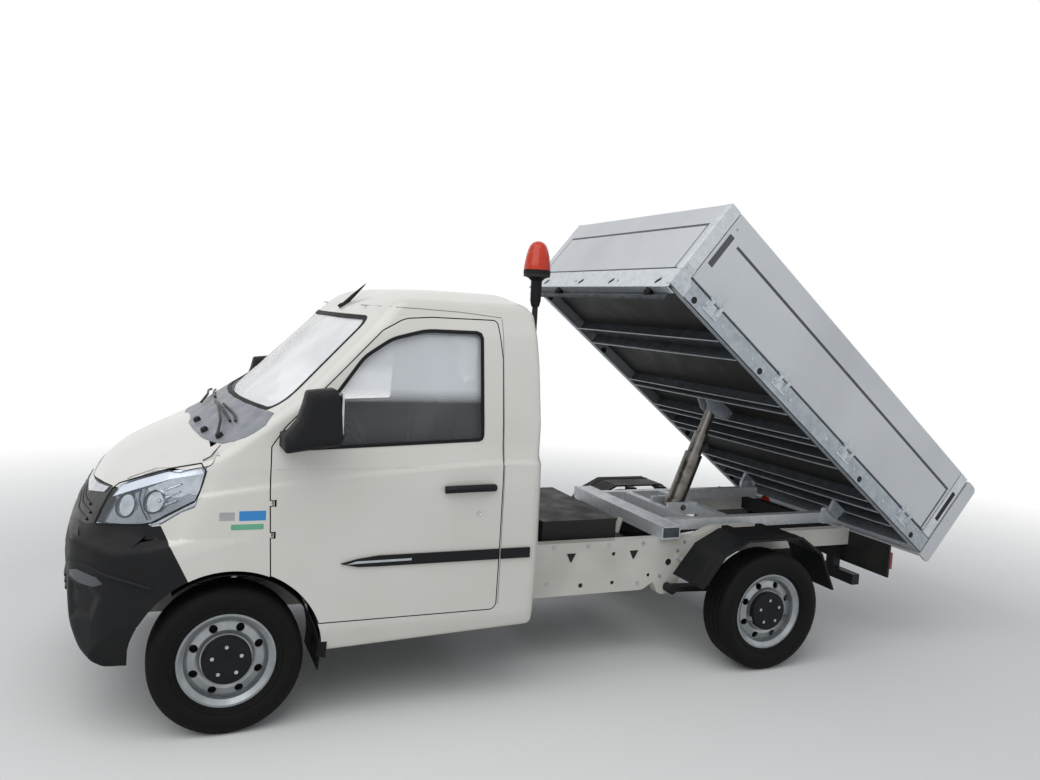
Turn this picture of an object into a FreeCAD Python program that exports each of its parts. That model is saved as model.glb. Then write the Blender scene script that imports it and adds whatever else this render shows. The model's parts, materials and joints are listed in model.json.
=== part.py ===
# Small tipper truck: semi-bonneted two-seat cab, ladder frame, raised tipping bed with fold-down sides.
# Millimetres. +X is the truck's left, -Y its front, +Z up, and Z 0 the ground.
# Places are measured from the point on the ground below the front axle; the export moves the whole truck
# so that the origin lies under the middle of its bounding box.
import FreeCAD
import Part
import math
import os

# ---- driving sizes ---------------------------------------------------------------------------------
wheelbase = 2660.0
tyreRadius = 306.0
tyreWidth = 175.0
frontWheelX = 702.5
rearWheelX = 737.5
beadRadius = 177.8
flangeRadius = 194.5
rimWidth = 139.0

steerX = 660.0
kingPinRadius = 10.0
pinClearance = 0.3
movingGap = 5.0

archRadius = 374.0
archLift = 12.0
archInnerX = 440.0
axleZ = tyreRadius

railOuterX = 490.0
railWidth = 60.0
railTop = 632.0
railBottom = 362.0
railEndY = 3450.0
springFront = 422.0
springRear = 425.0

cabWall = 60.0
roofWall = 35.0
backWall = 45.0
cabFrontY = -648.0
cabBackY = 1349.0

doorBottom = 450.0
doorHingeX = 832.0
doorHingeY = 156.0
doorHingeZ = [830.0, 960.0]
doorPinRadius = 4.0

hoodHingeY = -70.0
hoodHingeZ = 1222.0
cowlStartY = -52.0
hoodEarX = 100.0
cornerX = 605.0
hoodWall = 25.0

bedLength = 2216.0
bedHalfWidth = 822.0
bedHeight = 513.0
bedFrontY = 1476.0
bedBottomZ = 760.0
bedTilt = 38.54
pivotY = 3393.0
pivotZ = 710.0
pivotPinRadius = 15.0
bedRailHeight = 95.0
bedRailWidth = 50.0
bedFloorThick = 35.0
postLength = 65.0
sideThick = 32.0
sideBottom = 104.0
sideHingeX = bedHalfWidth + 10.0
sideHingeH = 98.0
tailStart = bedLength - 1.0
rearPostS = bedLength - 76.0
tailDepth = 82.0
tailThick = 30.0
tailPinS = tailStart + 48.0
tailPinH = bedHeight - 32.0

trunnionY = 2568.0
trunnionZ = 692.0
eyeRest = (2785.0, 1265.0)
barrelRadius = 62.5
barrelTop = 25.0
barrelBottom = -360.0
stageRadii = [52.5, 42.5, 31.5]
stageTravel = [290.0, 125.0, 124.0]
boreClearance = 0.5
eyePinRadius = 12.0
eyeClearance = 8.0

# ---- small helpers ---------------------------------------------------------------------------------


def vec(x, y, z):
    return FreeCAD.Vector(x, y, z)


def box(x0, x1, y0, y1, z0, z1):
    return Part.makeBox(x1 - x0, y1 - y0, z1 - z0, vec(x0, y0, z0))


def wireThrough(corners, place):
    # corners are (u, v) or (u, v, radius); place turns (u, v) into a point
    rounded = []
    count = len(corners)
    for i in range(count):
        before = corners[i - 1]
        here = corners[i]
        after = corners[(i + 1) % count]
        radius = here[2] if len(here) > 2 else 0.0
        if radius <= 0.0:
            rounded.append((here[:2], None, here[:2]))
            continue
        ax = before[0] - here[0]
        ay = before[1] - here[1]
        bx = after[0] - here[0]
        by = after[1] - here[1]
        la = math.hypot(ax, ay)
        lb = math.hypot(bx, by)
        ax, ay, bx, by = ax / la, ay / la, bx / lb, by / lb
        half = 0.5 * math.acos(max(-1.0, min(1.0, ax * bx + ay * by)))
        reach = radius / math.tan(half)
        lm = math.hypot(ax + bx, ay + by)
        mx, my = (ax + bx) / lm, (ay + by) / lm
        inside = radius / math.sin(half) - radius
        start = (here[0] + ax * reach, here[1] + ay * reach)
        middle = (here[0] + mx * inside, here[1] + my * inside)
        end = (here[0] + bx * reach, here[1] + by * reach)
        rounded.append((start, middle, end))
    edges = []
    for i in range(count):
        start, middle, end = rounded[i]
        if middle is not None:
            edges.append(Part.Arc(place(*start), place(*middle), place(*end)).toShape())
        following = rounded[(i + 1) % count][0]
        if math.hypot(following[0] - end[0], following[1] - end[1]) > 1e-4:
            edges.append(Part.LineSegment(place(*end), place(*following)).toShape())
    return Part.Wire(edges)


def faceAcross(corners, x=0.0, grow=0.0):
    # side-view outline (y, z)
    face = Part.Face(wireThrough(corners, lambda y, z: vec(x, y, z)))
    if grow:
        face = face.makeOffset2D(grow)
    return face


def prismX(corners, x0, x1, grow=0.0):
    return faceAcross(corners, x0, grow).extrude(vec(x1 - x0, 0, 0))


def prismY(corners, y0, y1, grow=0.0):
    face = Part.Face(wireThrough(corners, lambda x, z: vec(x, y0, z)))
    if grow:
        face = face.makeOffset2D(grow)
    return face.extrude(vec(0, y1 - y0, 0))


def prismZ(corners, z0, z1, grow=0.0):
    face = Part.Face(wireThrough(corners, lambda x, y: vec(x, y, z0)))
    if grow:
        face = face.makeOffset2D(grow)
    return face.extrude(vec(0, 0, z1 - z0))


def roundX(x0, x1, y, z, radius):
    return Part.makeCylinder(radius, x1 - x0, vec(x0, y, z), vec(1, 0, 0))


def roundZ(x, y, z0, z1, radius):
    return Part.makeCylinder(radius, z1 - z0, vec(x, y, z0), vec(0, 0, 1))


def rod(start, end, radius):
    a = vec(*start)
    b = vec(*end)
    return Part.makeCylinder(radius, (b - a).Length, a, b - a)


def mirrored(shape):
    return shape.mirror(vec(0, 0, 0), vec(1, 0, 0))


def bothSides(shape):
    return Part.makeCompound([shape, mirrored(shape)])


def fused(shapes):
    first = shapes[0]
    return first.multiFuse(shapes[1:]).removeSplitter() if len(shapes) > 1 else first


def mirrorOutline(half):
    # half outline from the centre line outwards, closed by its mirror image
    return half + [(-p[0],) + tuple(p[1:]) for p in reversed(half) if p[0] > 0.0]


def biggest(shape):
    return max(shape.Solids, key=lambda s: s.Volume)


# ---- cab shape -------------------------------------------------------------------------------------
# side view along the centre line: (y, z, radius)
cabSide = [
    (-380, 290, 0),
    (-455, 296, 60),
    (-545, 360, 90),
    (-607, 480, 120),
    (-634, 690, 60),
    (-606, 790, 20),
    (-545, 934, 60),
    (-433, 1062, 160),
    (-284, 1150, 250),
    (-78, 1250, 60),
    (112, 1360, 0),
    (497, 1730, 40),
    (700, 1842, 300),
    (1010, 1862, 600),
    (1235, 1856, 60),
    (1312, 1760, 40),
    (1330, 1534, 0),
    (1349, 666, 0),
    (1330, 352, 30),
    (-200, 285, 0),
]
# front view, right half from the ground up: (x, z, radius)
cabFrontHalf = [
    (0, 280),
    (770, 280, 20),
    (822, 420, 100),
    (834, 700, 0),
    (832, 1010, 0),
    (824, 1095, 30),
    (802, 1180, 30),
    (722, 1660, 200),
    (664, 1800, 60),
    (400, 1850, 400),
    (0, 1864),
]
# plan, left half from the nose back: (x, y, radius)
cabPlanHalf = [
    (0, -640),
    (350, -622, 0),
    (620, -584, 150),
    (770, -470, 200),
    (824, -250, 250),
    (834, 0, 0),
    (834, 1300, 30),
    (790, 1349, 0),
    (0, 1349),
]
# plan at the lamps' height, which leans back as it climbs: (x, y, radius)
noseHalf = [
    (0, -605),
    (300, -590, 0),
    (620, -510, 200),
    (745, -360, 250),
    (815, -150, 300),
    (834, 80, 0),
    (834, 2200),
    (0, 2200),
]
noseBaseZ = 820.0
noseLean = 0.45
screenBaseY = 112.0
screenBaseZ = 1360.0
screenSlope = 0.961
screenSweep = 2200.0
hoodEndY = -75.0
hoodEndZ = 1230.0
# how far the hood falls away from its centre line: (x, drop)
crownDrops = [(150.0, 0.0), (400.0, 22.0), (620.0, 56.0), (900.0, 112.0)]
# the hood's centre line, front to rear: (y, z, slope rearwards from there)
hoodFacets = [
    (-545.0, 930.0, 1.07),
    (-433.0, 1050.0, 0.537),
    (-284.0, 1130.0, 0.478),
]
cowlSlope = 0.68


def screenSolid(shift):
    # everything behind the swept windscreen face above its foot, moved back by shift
    side = 900.0
    foot = 1240.0
    footY = screenBaseY + shift - (screenBaseZ - foot) / screenSlope
    drop = side * side / (2.0 * screenSweep)
    arc = Part.Arc(vec(-side, footY + drop, foot), vec(0, footY, foot), vec(side, footY + drop, foot)).toShape()
    back = [vec(side, footY + drop, foot), vec(side, 2600, foot), vec(-side, 2600, foot), vec(-side, footY + drop, foot)]
    face = Part.Face(Part.Wire([arc] + Part.makePolygon(back).Edges))
    rise = 750.0
    return face.extrude(vec(0, rise / screenSlope, rise))


def airOver(fromY, toY, throughY, throughZ, slope):
    # everything above a faceted crown that climbs to the rear through a point of the centre line
    topZ = throughZ + (fromY - throughY) * slope
    line = [(x, topZ - drop) for x, drop in crownDrops]
    corners = [(-x, z) for x, z in reversed(line)] + line + [(900.0, 2300.0), (-900.0, 2300.0)]
    face = Part.Face(Part.makePolygon([vec(x, fromY, z) for x, z in corners + corners[:1]]))
    length = toY - fromY
    return face.extrude(vec(0, length, length * slope))


def cabSolid(inset, topInset):
    body = prismX(cabSide, -900, 900, -topInset)
    body = body.common(prismY(mirrorOutline(cabFrontHalf), -800, 1500, -inset))
    body = body.common(prismZ(mirrorOutline(cabPlanHalf), 200, 2000, -topInset))
    noseFace = Part.Face(wireThrough(mirrorOutline(noseHalf), lambda x, y: vec(x, y, noseBaseZ)))
    if topInset:
        noseFace = noseFace.makeOffset2D(-topInset)
    upper = noseFace.extrude(vec(0, 1200 * noseLean, 1200))
    body = body.common(upper.fuse(box(-900, 900, -800, 1500, 0, noseBaseZ)))
    for y, z, slope in hoodFacets:
        body = body.cut(airOver(-760.0, hoodEndY, y, z - topInset, slope))
    behind = box(-900, 900, 150, 1500, 0, 1245).fuse(screenSolid(topInset * 1.4))
    body = body.cut(airOver(hoodEndY, 260.0, hoodEndY, hoodEndZ - topInset, cowlSlope).cut(behind))
    return body.cut(box(-900, 900, 260, 1500, 1245, 2300).cut(screenSolid(topInset * 1.4)))


doorOutline = [
    (160, 560, 0),
    (146, 1014, 200),
    (150, 1185, 20),
    (205, 1262, 60),
    (420, 1478, 0),
    (600, 1662, 60),
    (700, 1716, 120),
    (820, 1726, 0),
    (1120, 1726, 22),
    (1141, 1560, 0),
    (1135, doorBottom, 30),
    (300, doorBottom, 0),
]
windowOutline = [
    (240, 1172, 25),
    (416, 1412, 40),
    (520, 1552, 90),
    (640, 1632, 120),
    (790, 1672, 0),
    (1046, 1672, 25),
    (1046, 1206, 20),
]
hoodLine = [
    (-700, 1002, 0),
    (-430, 1002, 0),
    (-366, 1034, 60),
    (-277, 1074, 60),
    (-189, 1094, 0),
    (-82, 1113, 20),
    (-62, 1160, 0),
    (hoodHingeY - 5, 1300, 0),
    (-700, 1500, 0),
]
# hood's front edge in front view: it dips to the middle
hoodFront = [(0, 940, 300), (cornerX, 1002, 0), (cornerX, 1060, 0), (-cornerX, 1060, 0), (-cornerX, 1002, 0)]
lampLine = [
    (-95, 1108, 0),
    (-134, 948, 20),
    (-186, 926, 0),
    (-256, 878, 30),
    (-338, 866, 0),
    (-620, 852, 0),
    (-620, 998, 0),
    (-430, 998, 0),
    (-366, 1030, 60),
    (-277, 1070, 60),
    (-189, 1090, 0),
]
bumperLine = [
    (-800, 200, 0),
    (-340, 200, 0),
    (-340, 480, 0),
    (-147, 640, 0),
    (-258, 874, 0),
    (-338, 862, 0),
    (-480, 852, 0),
    (-560, 815, 0),
    (-620, 780, 0),
    (-800, 780, 0),
]
def wheelArch(grow=0.0):
    reach = roundX(archInnerX - grow, 1000, 0, axleZ + archLift, archRadius + grow)
    return reach.fuse(mirrored(reach))


outer = cabSolid(0.0, 0.0)
cavity = cabSolid(cabWall, roofWall)
floorTop = railTop + 30.0
room = prismX([(390, floorTop), (390, 900), (230, 1000), (140, 1240), (560, 1900),
               (1290, 1900), (cabBackY - backWall, floorTop)], -900, 900)
interior = cavity.common(room)
bay = cabSolid(cabWall, hoodWall).common(
    prismX([(-560, 700), (-560, 1500), (-85, 1500), (-85, 1120), (140, 1120), (140, 700)], -900, 900))
footwell = cavity.common(box(railOuterX + 30, 900, 395, 1250, doorBottom + 30, floorTop + 10))
under = box(-720, 720, 395, 1400, 200, doorBottom)
underMiddle = box(-railOuterX - 2, railOuterX + 2, -600, 1400, 200, railTop)
skin = outer.cut(interior)
for hollow in (bay, footwell, mirrored(footwell), wheelArch(), under, underMiddle):
    skin = skin.cut(hollow)

doorPrism = prismX(doorOutline, 500, 900)
doorHole = prismX(doorOutline, 500, 900, movingGap)
windowPrism = prismX(windowOutline, 500, 1000)
screenHole = prismY([(-690, 1318, 40), (690, 1318, 40), (610, 1712, 60), (-610, 1712, 60)], -200, 700)
backHole = prismY([(-560, 1230, 50), (560, 1230, 50), (520, 1620, 60), (-520, 1620, 60)], 1150, 1500)

hoodZone = prismX(hoodLine, -900, 900)
hoodNose = prismY(hoodFront, -700, -380)
lampZone = prismX(lampLine, cornerX, 900)
bumperZone = prismX(bumperLine, -900, 900)
grilleZone = box(-cornerX, cornerX, -700, -420, 760, 1060)

pieces = {}

# openings and the roof come off first
skin = skin.cut(screenHole.cut(screenSolid(120.0)).common(box(-900, 900, 0, 900, 1300, 1760)))
skin = skin.cut(backHole)
roofZone = prismX([(400, 1735), (1500, 1735), (1500, 2000), (400, 2000)], -900, 900)
pieces["cab_roof"] = biggest(skin.common(roofZone))
skin = skin.cut(roofZone)
skin = skin.cut(doorHole).cut(mirrored(doorHole))

# panels cut from the skin where the real ones meet
hoodTop = skin.common(hoodZone.common(box(-900, 900, -700, hoodHingeY - 5, 900, 1400)))
hood = hoodTop.fuse(skin.cut(hoodZone).common(hoodNose)).removeSplitter()
for sideX in (-hoodEarX, hoodEarX):
    hood = hood.cut(box(sideX - 16, sideX + 16, hoodHingeY - 16, 0, 1180, 1300))
    ears = [box(sideX + d, sideX + d + 14, hoodHingeY - 18, hoodHingeY + 5, hoodHingeZ - 8, hoodHingeZ + 6)
            for d in (-30, 16)]
    hood = fused([hood, roundX(sideX - 30, sideX + 30, hoodHingeY, hoodHingeZ, 4)] + ears)
pieces["hood"] = hood
rest = skin
for clearance in (vec(0, 0, -movingGap), vec(0, movingGap, 0)):
    rest = rest.cut(hoodZone.translated(clearance))
rest = rest.cut(hoodNose.translated(vec(0, 0, -movingGap)))
rest = rest.cut(box(-900, 900, hoodHingeY - 8, cowlStartY, 1152, 1500))

# the bumper narrows towards the ground
bumperTuck = prismY([(660, 200), (700, 330), (834, 560), (900, 560), (900, 200)], -800, 0)
bumper = rest.common(bumperZone)
bumper = bumper.cut(bumperTuck)
bumper = bumper.cut(mirrored(bumperTuck))
pieces["bumper"] = biggest(bumper)
rest = rest.cut(bumperZone)
lamp = biggest(rest.common(lampZone))
pieces["headlamps"] = bothSides(lamp)
rest = rest.cut(lampZone).cut(mirrored(lampZone))
pieces["grille"] = biggest(rest.common(grilleZone))
rest = rest.cut(box(-cornerX, cornerX, -700, -400, 700, 1100))

fenderZone = prismX([(-700, 200), (170, 200), (170, 1190), (-60, 1190), (-60, 1500), (-700, 1500)], 430, 900)
fender = biggest(rest.common(fenderZone))
for z in doorHingeZ:
    strap = box(doorHingeX - 14, doorHingeX + 2, doorHingeY - 40, doorHingeY + 6, z - 10, z + 10)
    fender = fender.fuse(strap.cut(roundZ(doorHingeX, doorHingeY, 0, 2000, doorPinRadius + pinClearance)))
fender = fender.removeSplitter()
pieces["fender_left"] = fender
pieces["fender_right"] = mirrored(fender)
rest = rest.cut(fenderZone).cut(mirrored(fenderZone))

sideProfile = mirrorOutline(cabFrontHalf)
doorBlank = outer.common(doorPrism).cut(prismY(sideProfile, -800, 1500, -cabWall)).cut(wheelArch(movingGap))
door = biggest(doorBlank.cut(windowPrism))
for z in doorHingeZ:
    door = door.cut(box(doorHingeX - 24, 900, 100, doorHingeY + 14, z - 14, z + 14))
    door = door.fuse(roundZ(doorHingeX, doorHingeY, z - 30, z + 30, doorPinRadius))
door = door.removeSplitter()
pieces["door_left"] = door
pieces["door_right"] = mirrored(door)
glassLayer = prismY(sideProfile, 0, 1300, -22.0).cut(prismY(sideProfile, 0, 1300, -28.0))
pane = biggest(glassLayer.common(windowPrism))
pieces["door_glass_left"] = pane
pieces["door_glass_right"] = mirrored(pane)

screenLayer = screenSolid(8.0).cut(screenSolid(16.0))
pieces["windscreen"] = biggest(screenLayer.common(screenHole).common(outer))
pieces["rear_window"] = box(-600, 600, cabBackY - 40, cabBackY - 34, 1200, 1650).common(backHole)

shell = biggest(rest)
strapHole = roundX(-200, 200, hoodHingeY, hoodHingeZ, 4 + pinClearance)
for sideX in (-hoodEarX, hoodEarX):
    strap = box(sideX - 12, sideX + 12, hoodHingeY - 7, cowlStartY + 12, hoodHingeZ - 7, hoodHingeZ + 7)
    shell = shell.fuse(strap.cut(strapHole))
pieces["cab_shell"] = shell.removeSplitter()


# ---- cab fittings ----------------------------------------------------------------------------------
pieces["dashboard"] = prismX([(245, 1180, 30), (470, 1120, 40), (500, 980, 40), (420, 900, 0), (300, 900, 0),
                              (200, 1060, 0)], -740, 740).common(interior)
columnTop = (455.0, 1090.0)
wheelCentre = (590.0, 1150.0)
rimTube = Part.makeTorus(185, 13)
tilt = math.degrees(math.atan2(wheelCentre[0] - columnTop[0], wheelCentre[1] - columnTop[1]))
hub = Part.makeCylinder(45, 40, vec(0, 0, -30))
spokes = [Part.makeBox(370, 34, 14, vec(-185, -17, -12)), Part.makeBox(34, 185, 14, vec(-17, -185, -12))]
steering = fused([rimTube, hub] + spokes)
steering.rotate(vec(0, 0, 0), vec(1, 0, 0), -tilt)
steering.translate(vec(350, wheelCentre[0], wheelCentre[1]))
column = rod((350, columnTop[0], columnTop[1]), (350, wheelCentre[0] - 12, wheelCentre[1] - 5), 22)
pieces["steering_wheel"] = biggest(fused([steering, column]).cut(pieces["dashboard"]))

cushion = prismX([(700, 800.3, 40), (700, 940, 50), (1092.5, 930, 30), (1092.5, 800.3, 0)], 110, 590)
back = prismX([(1093, 800.3, 0), (1093, 960, 60), (1175, 1420, 40), (1285, 1440, 50), (1262, 900, 60), (1262, 800.3, 0)], 120, 580)
head = prismX([(1190, 1425, 0), (1200, 1600, 35), (1280, 1600, 35), (1275, 1425, 0)], 230, 470)
seatBox = box(90, 610, 720, 1270, floorTop, 800)
pieces["seat_boxes"] = bothSides(seatBox)
pieces["seat_cushions"] = bothSides(cushion)
pieces["seat_backs"] = bothSides(fused([back, head]))

# ---- frame -----------------------------------------------------------------------------------------
kickY = wheelbase  # the rails drop to the spring hangers and step up over the rear axle
railOutline = [
    (420, railBottom, 0),
    (kickY - 570, railBottom, 60),
    (kickY - 510, 400, 0),
    (kickY - 470, 331, 30),
    (kickY - 370, 331, 40),
    (kickY - 330, 470, 30),
    (kickY - 240, 510, 60),
    (kickY - 100, 535, 0),
    (railEndY, 535, 0),
    (railEndY, 632, 0),
    (kickY + 200, railTop, 60),
    (kickY + 140, 676, 60),
    (kickY - 140, 676, 60),
    (kickY - 260, railTop, 60),
    (420, railTop, 0),
]
rail = prismX(railOutline, railOuterX - railWidth, railOuterX)
nose = prismX([(-430, 420), (-430, 520), (450, 520), (560, railTop), (560, railBottom), (450, 400)],
              railOuterX - 130, railOuterX - railWidth)
rail = fused([rail, nose])
pieces["rail_left"] = rail
pieces["rail_right"] = mirrored(rail)

crossTable = [
    # y start, y end, z bottom, z top
    (-430, -380, 440, 500),
    (1420, 1470, 460, 560),
    (1990, 2050, 430, 610),
    (railEndY - 70, railEndY - 20, 545, railTop),
]
halfGap = railOuterX - railWidth
crosses = []
for y0, y1, z0, z1 in crossTable:
    half = halfGap - 70 if y0 < 0 else halfGap
    crosses.append(box(-half, half, y0, y1, z0, z1))
pieces["frame_cross_members"] = Part.makeCompound(crosses)

# tipping subframe: two long members, a front cross member, cradle and rear pivot plates
subTop = 700.0
subFront = trunnionY - 398.0
longs = box(330, 380, subFront, pivotY + 27, 640, subTop)
frontCross = box(-railOuterX - 30, railOuterX + 30, subFront, subFront + 110, railTop, subTop)
cradleA = box(-380, 380, trunnionY - 150, trunnionY - 102, 645, subTop)
cradleB = box(-380, 380, trunnionY + 94, trunnionY + 144, 645, subTop)
bearing = box(78, 100, trunnionY - 102, trunnionY + 94, 652, subTop + 22)
bearing = bearing.cut(roundX(60, 120, trunnionY, trunnionZ, 18 + pinClearance))
pivotPlate = prismX([(pivotY - 63, 640, 0), (pivotY - 63, pivotZ + 25, 20), (pivotY + 47, pivotZ + 25, 20),
                     (pivotY + 47, 640, 0)], 380, 400)
pivotPlate = pivotPlate.cut(roundX(300, 500, pivotY, pivotZ, pivotPinRadius + pinClearance))
seats = box(300, 480, pivotY - 13, pivotY + 37, railTop, 640)
pieces["tip_subframe"] = fused([longs, mirrored(longs), frontCross, cradleA, cradleB, bearing, mirrored(bearing),
                                pivotPlate, mirrored(pivotPlate), seats, mirrored(seats)])
pieces["engine_block"] = fused([box(-300, 300, 760, 1250, 300, 610), box(-430, 430, 960, 1040, 560, 600)])
pieces["battery_box"] = fused([box(-400, 400, 1540, 1960, 440, 725), box(-430, 430, 1700, 1780, 470, 520)])

# ---- axles and springs -----------------------------------------------------------------------------
rearAxleY = wheelbase
axle = roundX(-700, 700, rearAxleY, axleZ, 38)
stub = roundX(-rearWheelX - 20, rearWheelX + 20, rearAxleY, axleZ, 24)
diffSection = [(-70, 0), (-70, 60, 20), (-40, 112, 30), (40, 112, 30), (70, 60, 20), (70, 0)]
diffWire = wireThrough(diffSection, lambda x, r: vec(-250 + x, rearAxleY, axleZ + r))
diff = Part.Face(diffWire).revolve(vec(0, rearAxleY, axleZ), vec(1, 0, 0), 360)
drum = roundX(690, 738, rearAxleY, axleZ, 128)
pinion = rod((-250, rearAxleY, axleZ), (-250, rearAxleY - 210, axleZ + 15), 45)
pieces["rear_axle"] = fused([axle, stub, diff, pinion, drum, mirrored(drum)])
pieces["prop_shaft"] = rod((-250, rearAxleY - 211, axleZ + 16), (-250, 1258, 420), 35)
padZ = axleZ + 38
springStart = rearAxleY - springFront
springEnd = rearAxleY + springRear
springOutline = [(springStart, 358, 0), (rearAxleY - 100, padZ, 0), (rearAxleY + 100, padZ, 0), (springEnd, 385, 0),
                 (springEnd, 410, 0), (rearAxleY + 100, padZ + 30, 0), (rearAxleY - 100, padZ + 30, 0),
                 (springStart, 386, 0)]
spring = prismX(springOutline, railOuterX + 4, railOuterX + 64)
eyes = [roundX(railOuterX, railOuterX + 64, springStart, 369, 24),
        roundX(railOuterX, railOuterX + 64, springEnd, 397, 24)]
shackle = box(railOuterX, railOuterX + 10, springEnd - 25, springEnd + 25, 380, 560)
spring = fused([spring, shackle] + eyes)
pieces["leaf_springs"] = bothSides(spring)

armInner = 360.0
lowerArm = fused([prismZ([(armInner, -150), (armInner, 150), (steerX + 24, 26, 20), (steerX + 24, -26, 20)], 160, 184)])
upperArm = box(545, steerX + 14, -18, 18, 418, 446)
strut = roundZ(545, 0, 418, 660, 24)
link = box(railOuterX - railWidth, 545, -24, 24, 470, 510)
mainCross = box(-armInner, armInner, -150, 150, 160, 230)
armHole = roundZ(steerX, 0, 100, 600, kingPinRadius + pinClearance)
sideParts = [lowerArm.cut(armHole), fused([upperArm, strut, link]).cut(armHole)]
column = box(armInner - 60, armInner, -60, 60, 160, 420)
pieces["front_suspension"] = fused([mainCross] + sideParts + [mirrored(p) for p in sideParts]
                                   + [column, mirrored(column)])

knuckle = fused([
    box(steerX - 30, steerX + 30, -45, 45, 190, 412),
    roundX(steerX, frontWheelX + 30, 0, axleZ, 24),
    roundX(steerX + 30, steerX + 42, 0, axleZ, 120),
    roundZ(steerX, 0, 155, 450, kingPinRadius),
])
pieces["knuckle_left"] = knuckle
pieces["knuckle_right"] = mirrored(knuckle)

# ---- wheels ----------------------------------------------------------------------------------------


def turned(corners, centreX, centreY):
    # closed outline of (x, radius) turned about the wheel's axis
    wire = wireThrough(corners, lambda x, r: vec(centreX + x, centreY, axleZ + r))
    return Part.Face(wire).revolve(vec(0, centreY, axleZ), vec(1, 0, 0), 360)


halfTyre = tyreWidth / 2
halfRim = rimWidth / 2


def tyreAt(centreX, centreY):
    section = [
        (-halfRim + 8, beadRadius + 1, 0),
        (-halfRim + 6, flangeRadius + 3, 0),
        (-halfTyre, 250, 30),
        (-halfTyre + 10, tyreRadius - 12, 12),
        (-halfTyre + 26, tyreRadius, 8),
        (halfTyre - 26, tyreRadius, 8),
        (halfTyre - 10, tyreRadius - 12, 12),
        (halfTyre, 250, 30),
        (halfRim - 6, flangeRadius + 3, 0),
        (halfRim - 8, beadRadius + 1, 0),
    ]
    return turned(section, centreX, centreY)


def wheelAt(centreX, centreY):
    barrel = [
        (-halfRim, flangeRadius, 0),
        (-halfRim, flangeRadius - 9, 0),
        (-halfRim + 14, 166, 0),
        (halfRim - 14, 166, 0),
        (halfRim, flangeRadius - 9, 0),
        (halfRim, flangeRadius, 0),
        (halfRim - 8, beadRadius, 0),
        (-halfRim + 8, beadRadius, 0),
    ]
    disc = [(18, 24.5), (18, 105), (36, 120), (28, 150), (24, 167), (30, 167), (38, 150), (46, 122), (40, 104), (46, 60),
            (46, 24.5)]
    wheel = fused([turned(barrel, centreX, centreY), turned(disc, centreX, centreY)])
    for i in range(8):
        angle = math.radians(22.5 + 45.0 * i)
        wheel = wheel.cut(roundX(centreX, centreX + 90, centreY + 137 * math.cos(angle),
                                 axleZ + 137 * math.sin(angle), 17))
    cap = turned([(34, 0), (34, 98), (58, 98), (64, 91), (71, 58), (73, 0)], centreX, centreY)
    return fused([wheel, cap])


for label, centreX, centreY in (("front", frontWheelX, 0.0), ("rear", rearWheelX, rearAxleY)):
    for kind, left in (("wheel_", wheelAt(centreX, centreY)), ("tyre_", tyreAt(centreX, centreY))):
        right = left.copy()
        right.rotate(vec(0, centreY, 0), vec(0, 0, 1), 180)
        pieces[kind + label + "_left"] = left
        pieces[kind + label + "_right"] = right

# ---- mirrors, rear fenders, rear bars, beacon --------------------------------------------------------
mirror = prismX([(190, 1190, 30), (200, 1400, 40), (300, 1432, 40), (385, 1420, 30), (392, 1200, 30)], 870, 990)
arm = box(770, 900, 205, 245, 1130, 1205)
mirror = fused([mirror, arm.cut(doorBlank)])
pieces["mirror_left"] = mirror
pieces["mirror_right"] = mirrored(mirror)

# rear mudguard, measured along from the rear axle
guardOuter = [(-435, 460), (-310, 620), (-170, 690), (170, 690), (305, 600), (400, 400)]
guardInner = [(390, 396), (296, 592), (165, 680), (-165, 680), (-301, 612), (-423, 455)]
guardX = rearWheelX + tyreWidth / 2 + 1.0
rearFender = prismX([(wheelbase + y, z) for y, z in guardOuter + guardInner], railOuterX + 70, guardX)
stay = box(railOuterX, railOuterX + 80, wheelbase - 100, wheelbase - 60, 640, 685)
stayRear = box(railOuterX, railOuterX + 80, wheelbase + 120, wheelbase + 160, 640, 685)
rearFender = fused([rearFender, stay, stayRear])
pieces["rear_fender_left"] = rearFender
pieces["rear_fender_right"] = mirrored(rearFender)

boardX = bedHalfWidth - 22.0
boardBack = railEndY + 12.0
board = box(-boardX, boardX, railEndY, boardBack, 430, 610)
lowBar = box(-600, 600, railEndY - 50, railEndY, 330, 390)
hangers = box(380, 440, railEndY - 50, railEndY, 390, 535)
pieces["rear_underride"] = fused([board, lowBar, hangers, mirrored(hangers)])
pieces["tail_lamps"] = bothSides(box(boardX - 240, boardX - 20, boardBack, boardBack + 38, 470, 560))

poleX = 400.0
poleY = 1430.0
poleTop = 1850.0
beaconZ = 1945.0
domeZ = beaconZ + 30.0
pole = rod((poleX, poleY, railTop), (poleX, poleY, poleTop), 14)
stem = rod((poleX, poleY, poleTop), (poleX, poleY, beaconZ), 20)
foot = box(poleX - 40, poleX + 60, poleY - 30, poleY + 30, railTop, railTop + 8)
bracket = box(poleX - 25, poleX + 25, cabBackY, poleY, 1180, 1210)
base = rod((poleX, poleY, beaconZ), (poleX, poleY, domeZ), 65)
pieces["beacon_pole"] = fused([pole, stem, foot, bracket, base])
domeRadius = 55.0
crownZ = domeZ + 88.0
crownCap = box(poleX - 80, poleX + 80, poleY - 80, poleY + 80, crownZ, crownZ + 60)
dome = Part.makeCone(60, domeRadius, crownZ - domeZ, vec(poleX, poleY, domeZ))
dome = dome.fuse(Part.makeSphere(domeRadius, vec(poleX, poleY, crownZ)).common(crownCap))
pieces["beacon_dome"] = dome.removeSplitter()

# ---- bed (built lowered, then tipped) ------------------------------------------------------------------


def tipped(shape):
    moved = shape.copy()
    moved.rotate(vec(0, pivotY, pivotZ), vec(1, 0, 0), -bedTilt)
    return moved


def bedBox(x0, x1, s0, s1, h0, h1):
    return box(x0, x1, bedFrontY + s0, bedFrontY + s1, bedBottomZ + h0, bedBottomZ + h1)


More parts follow.
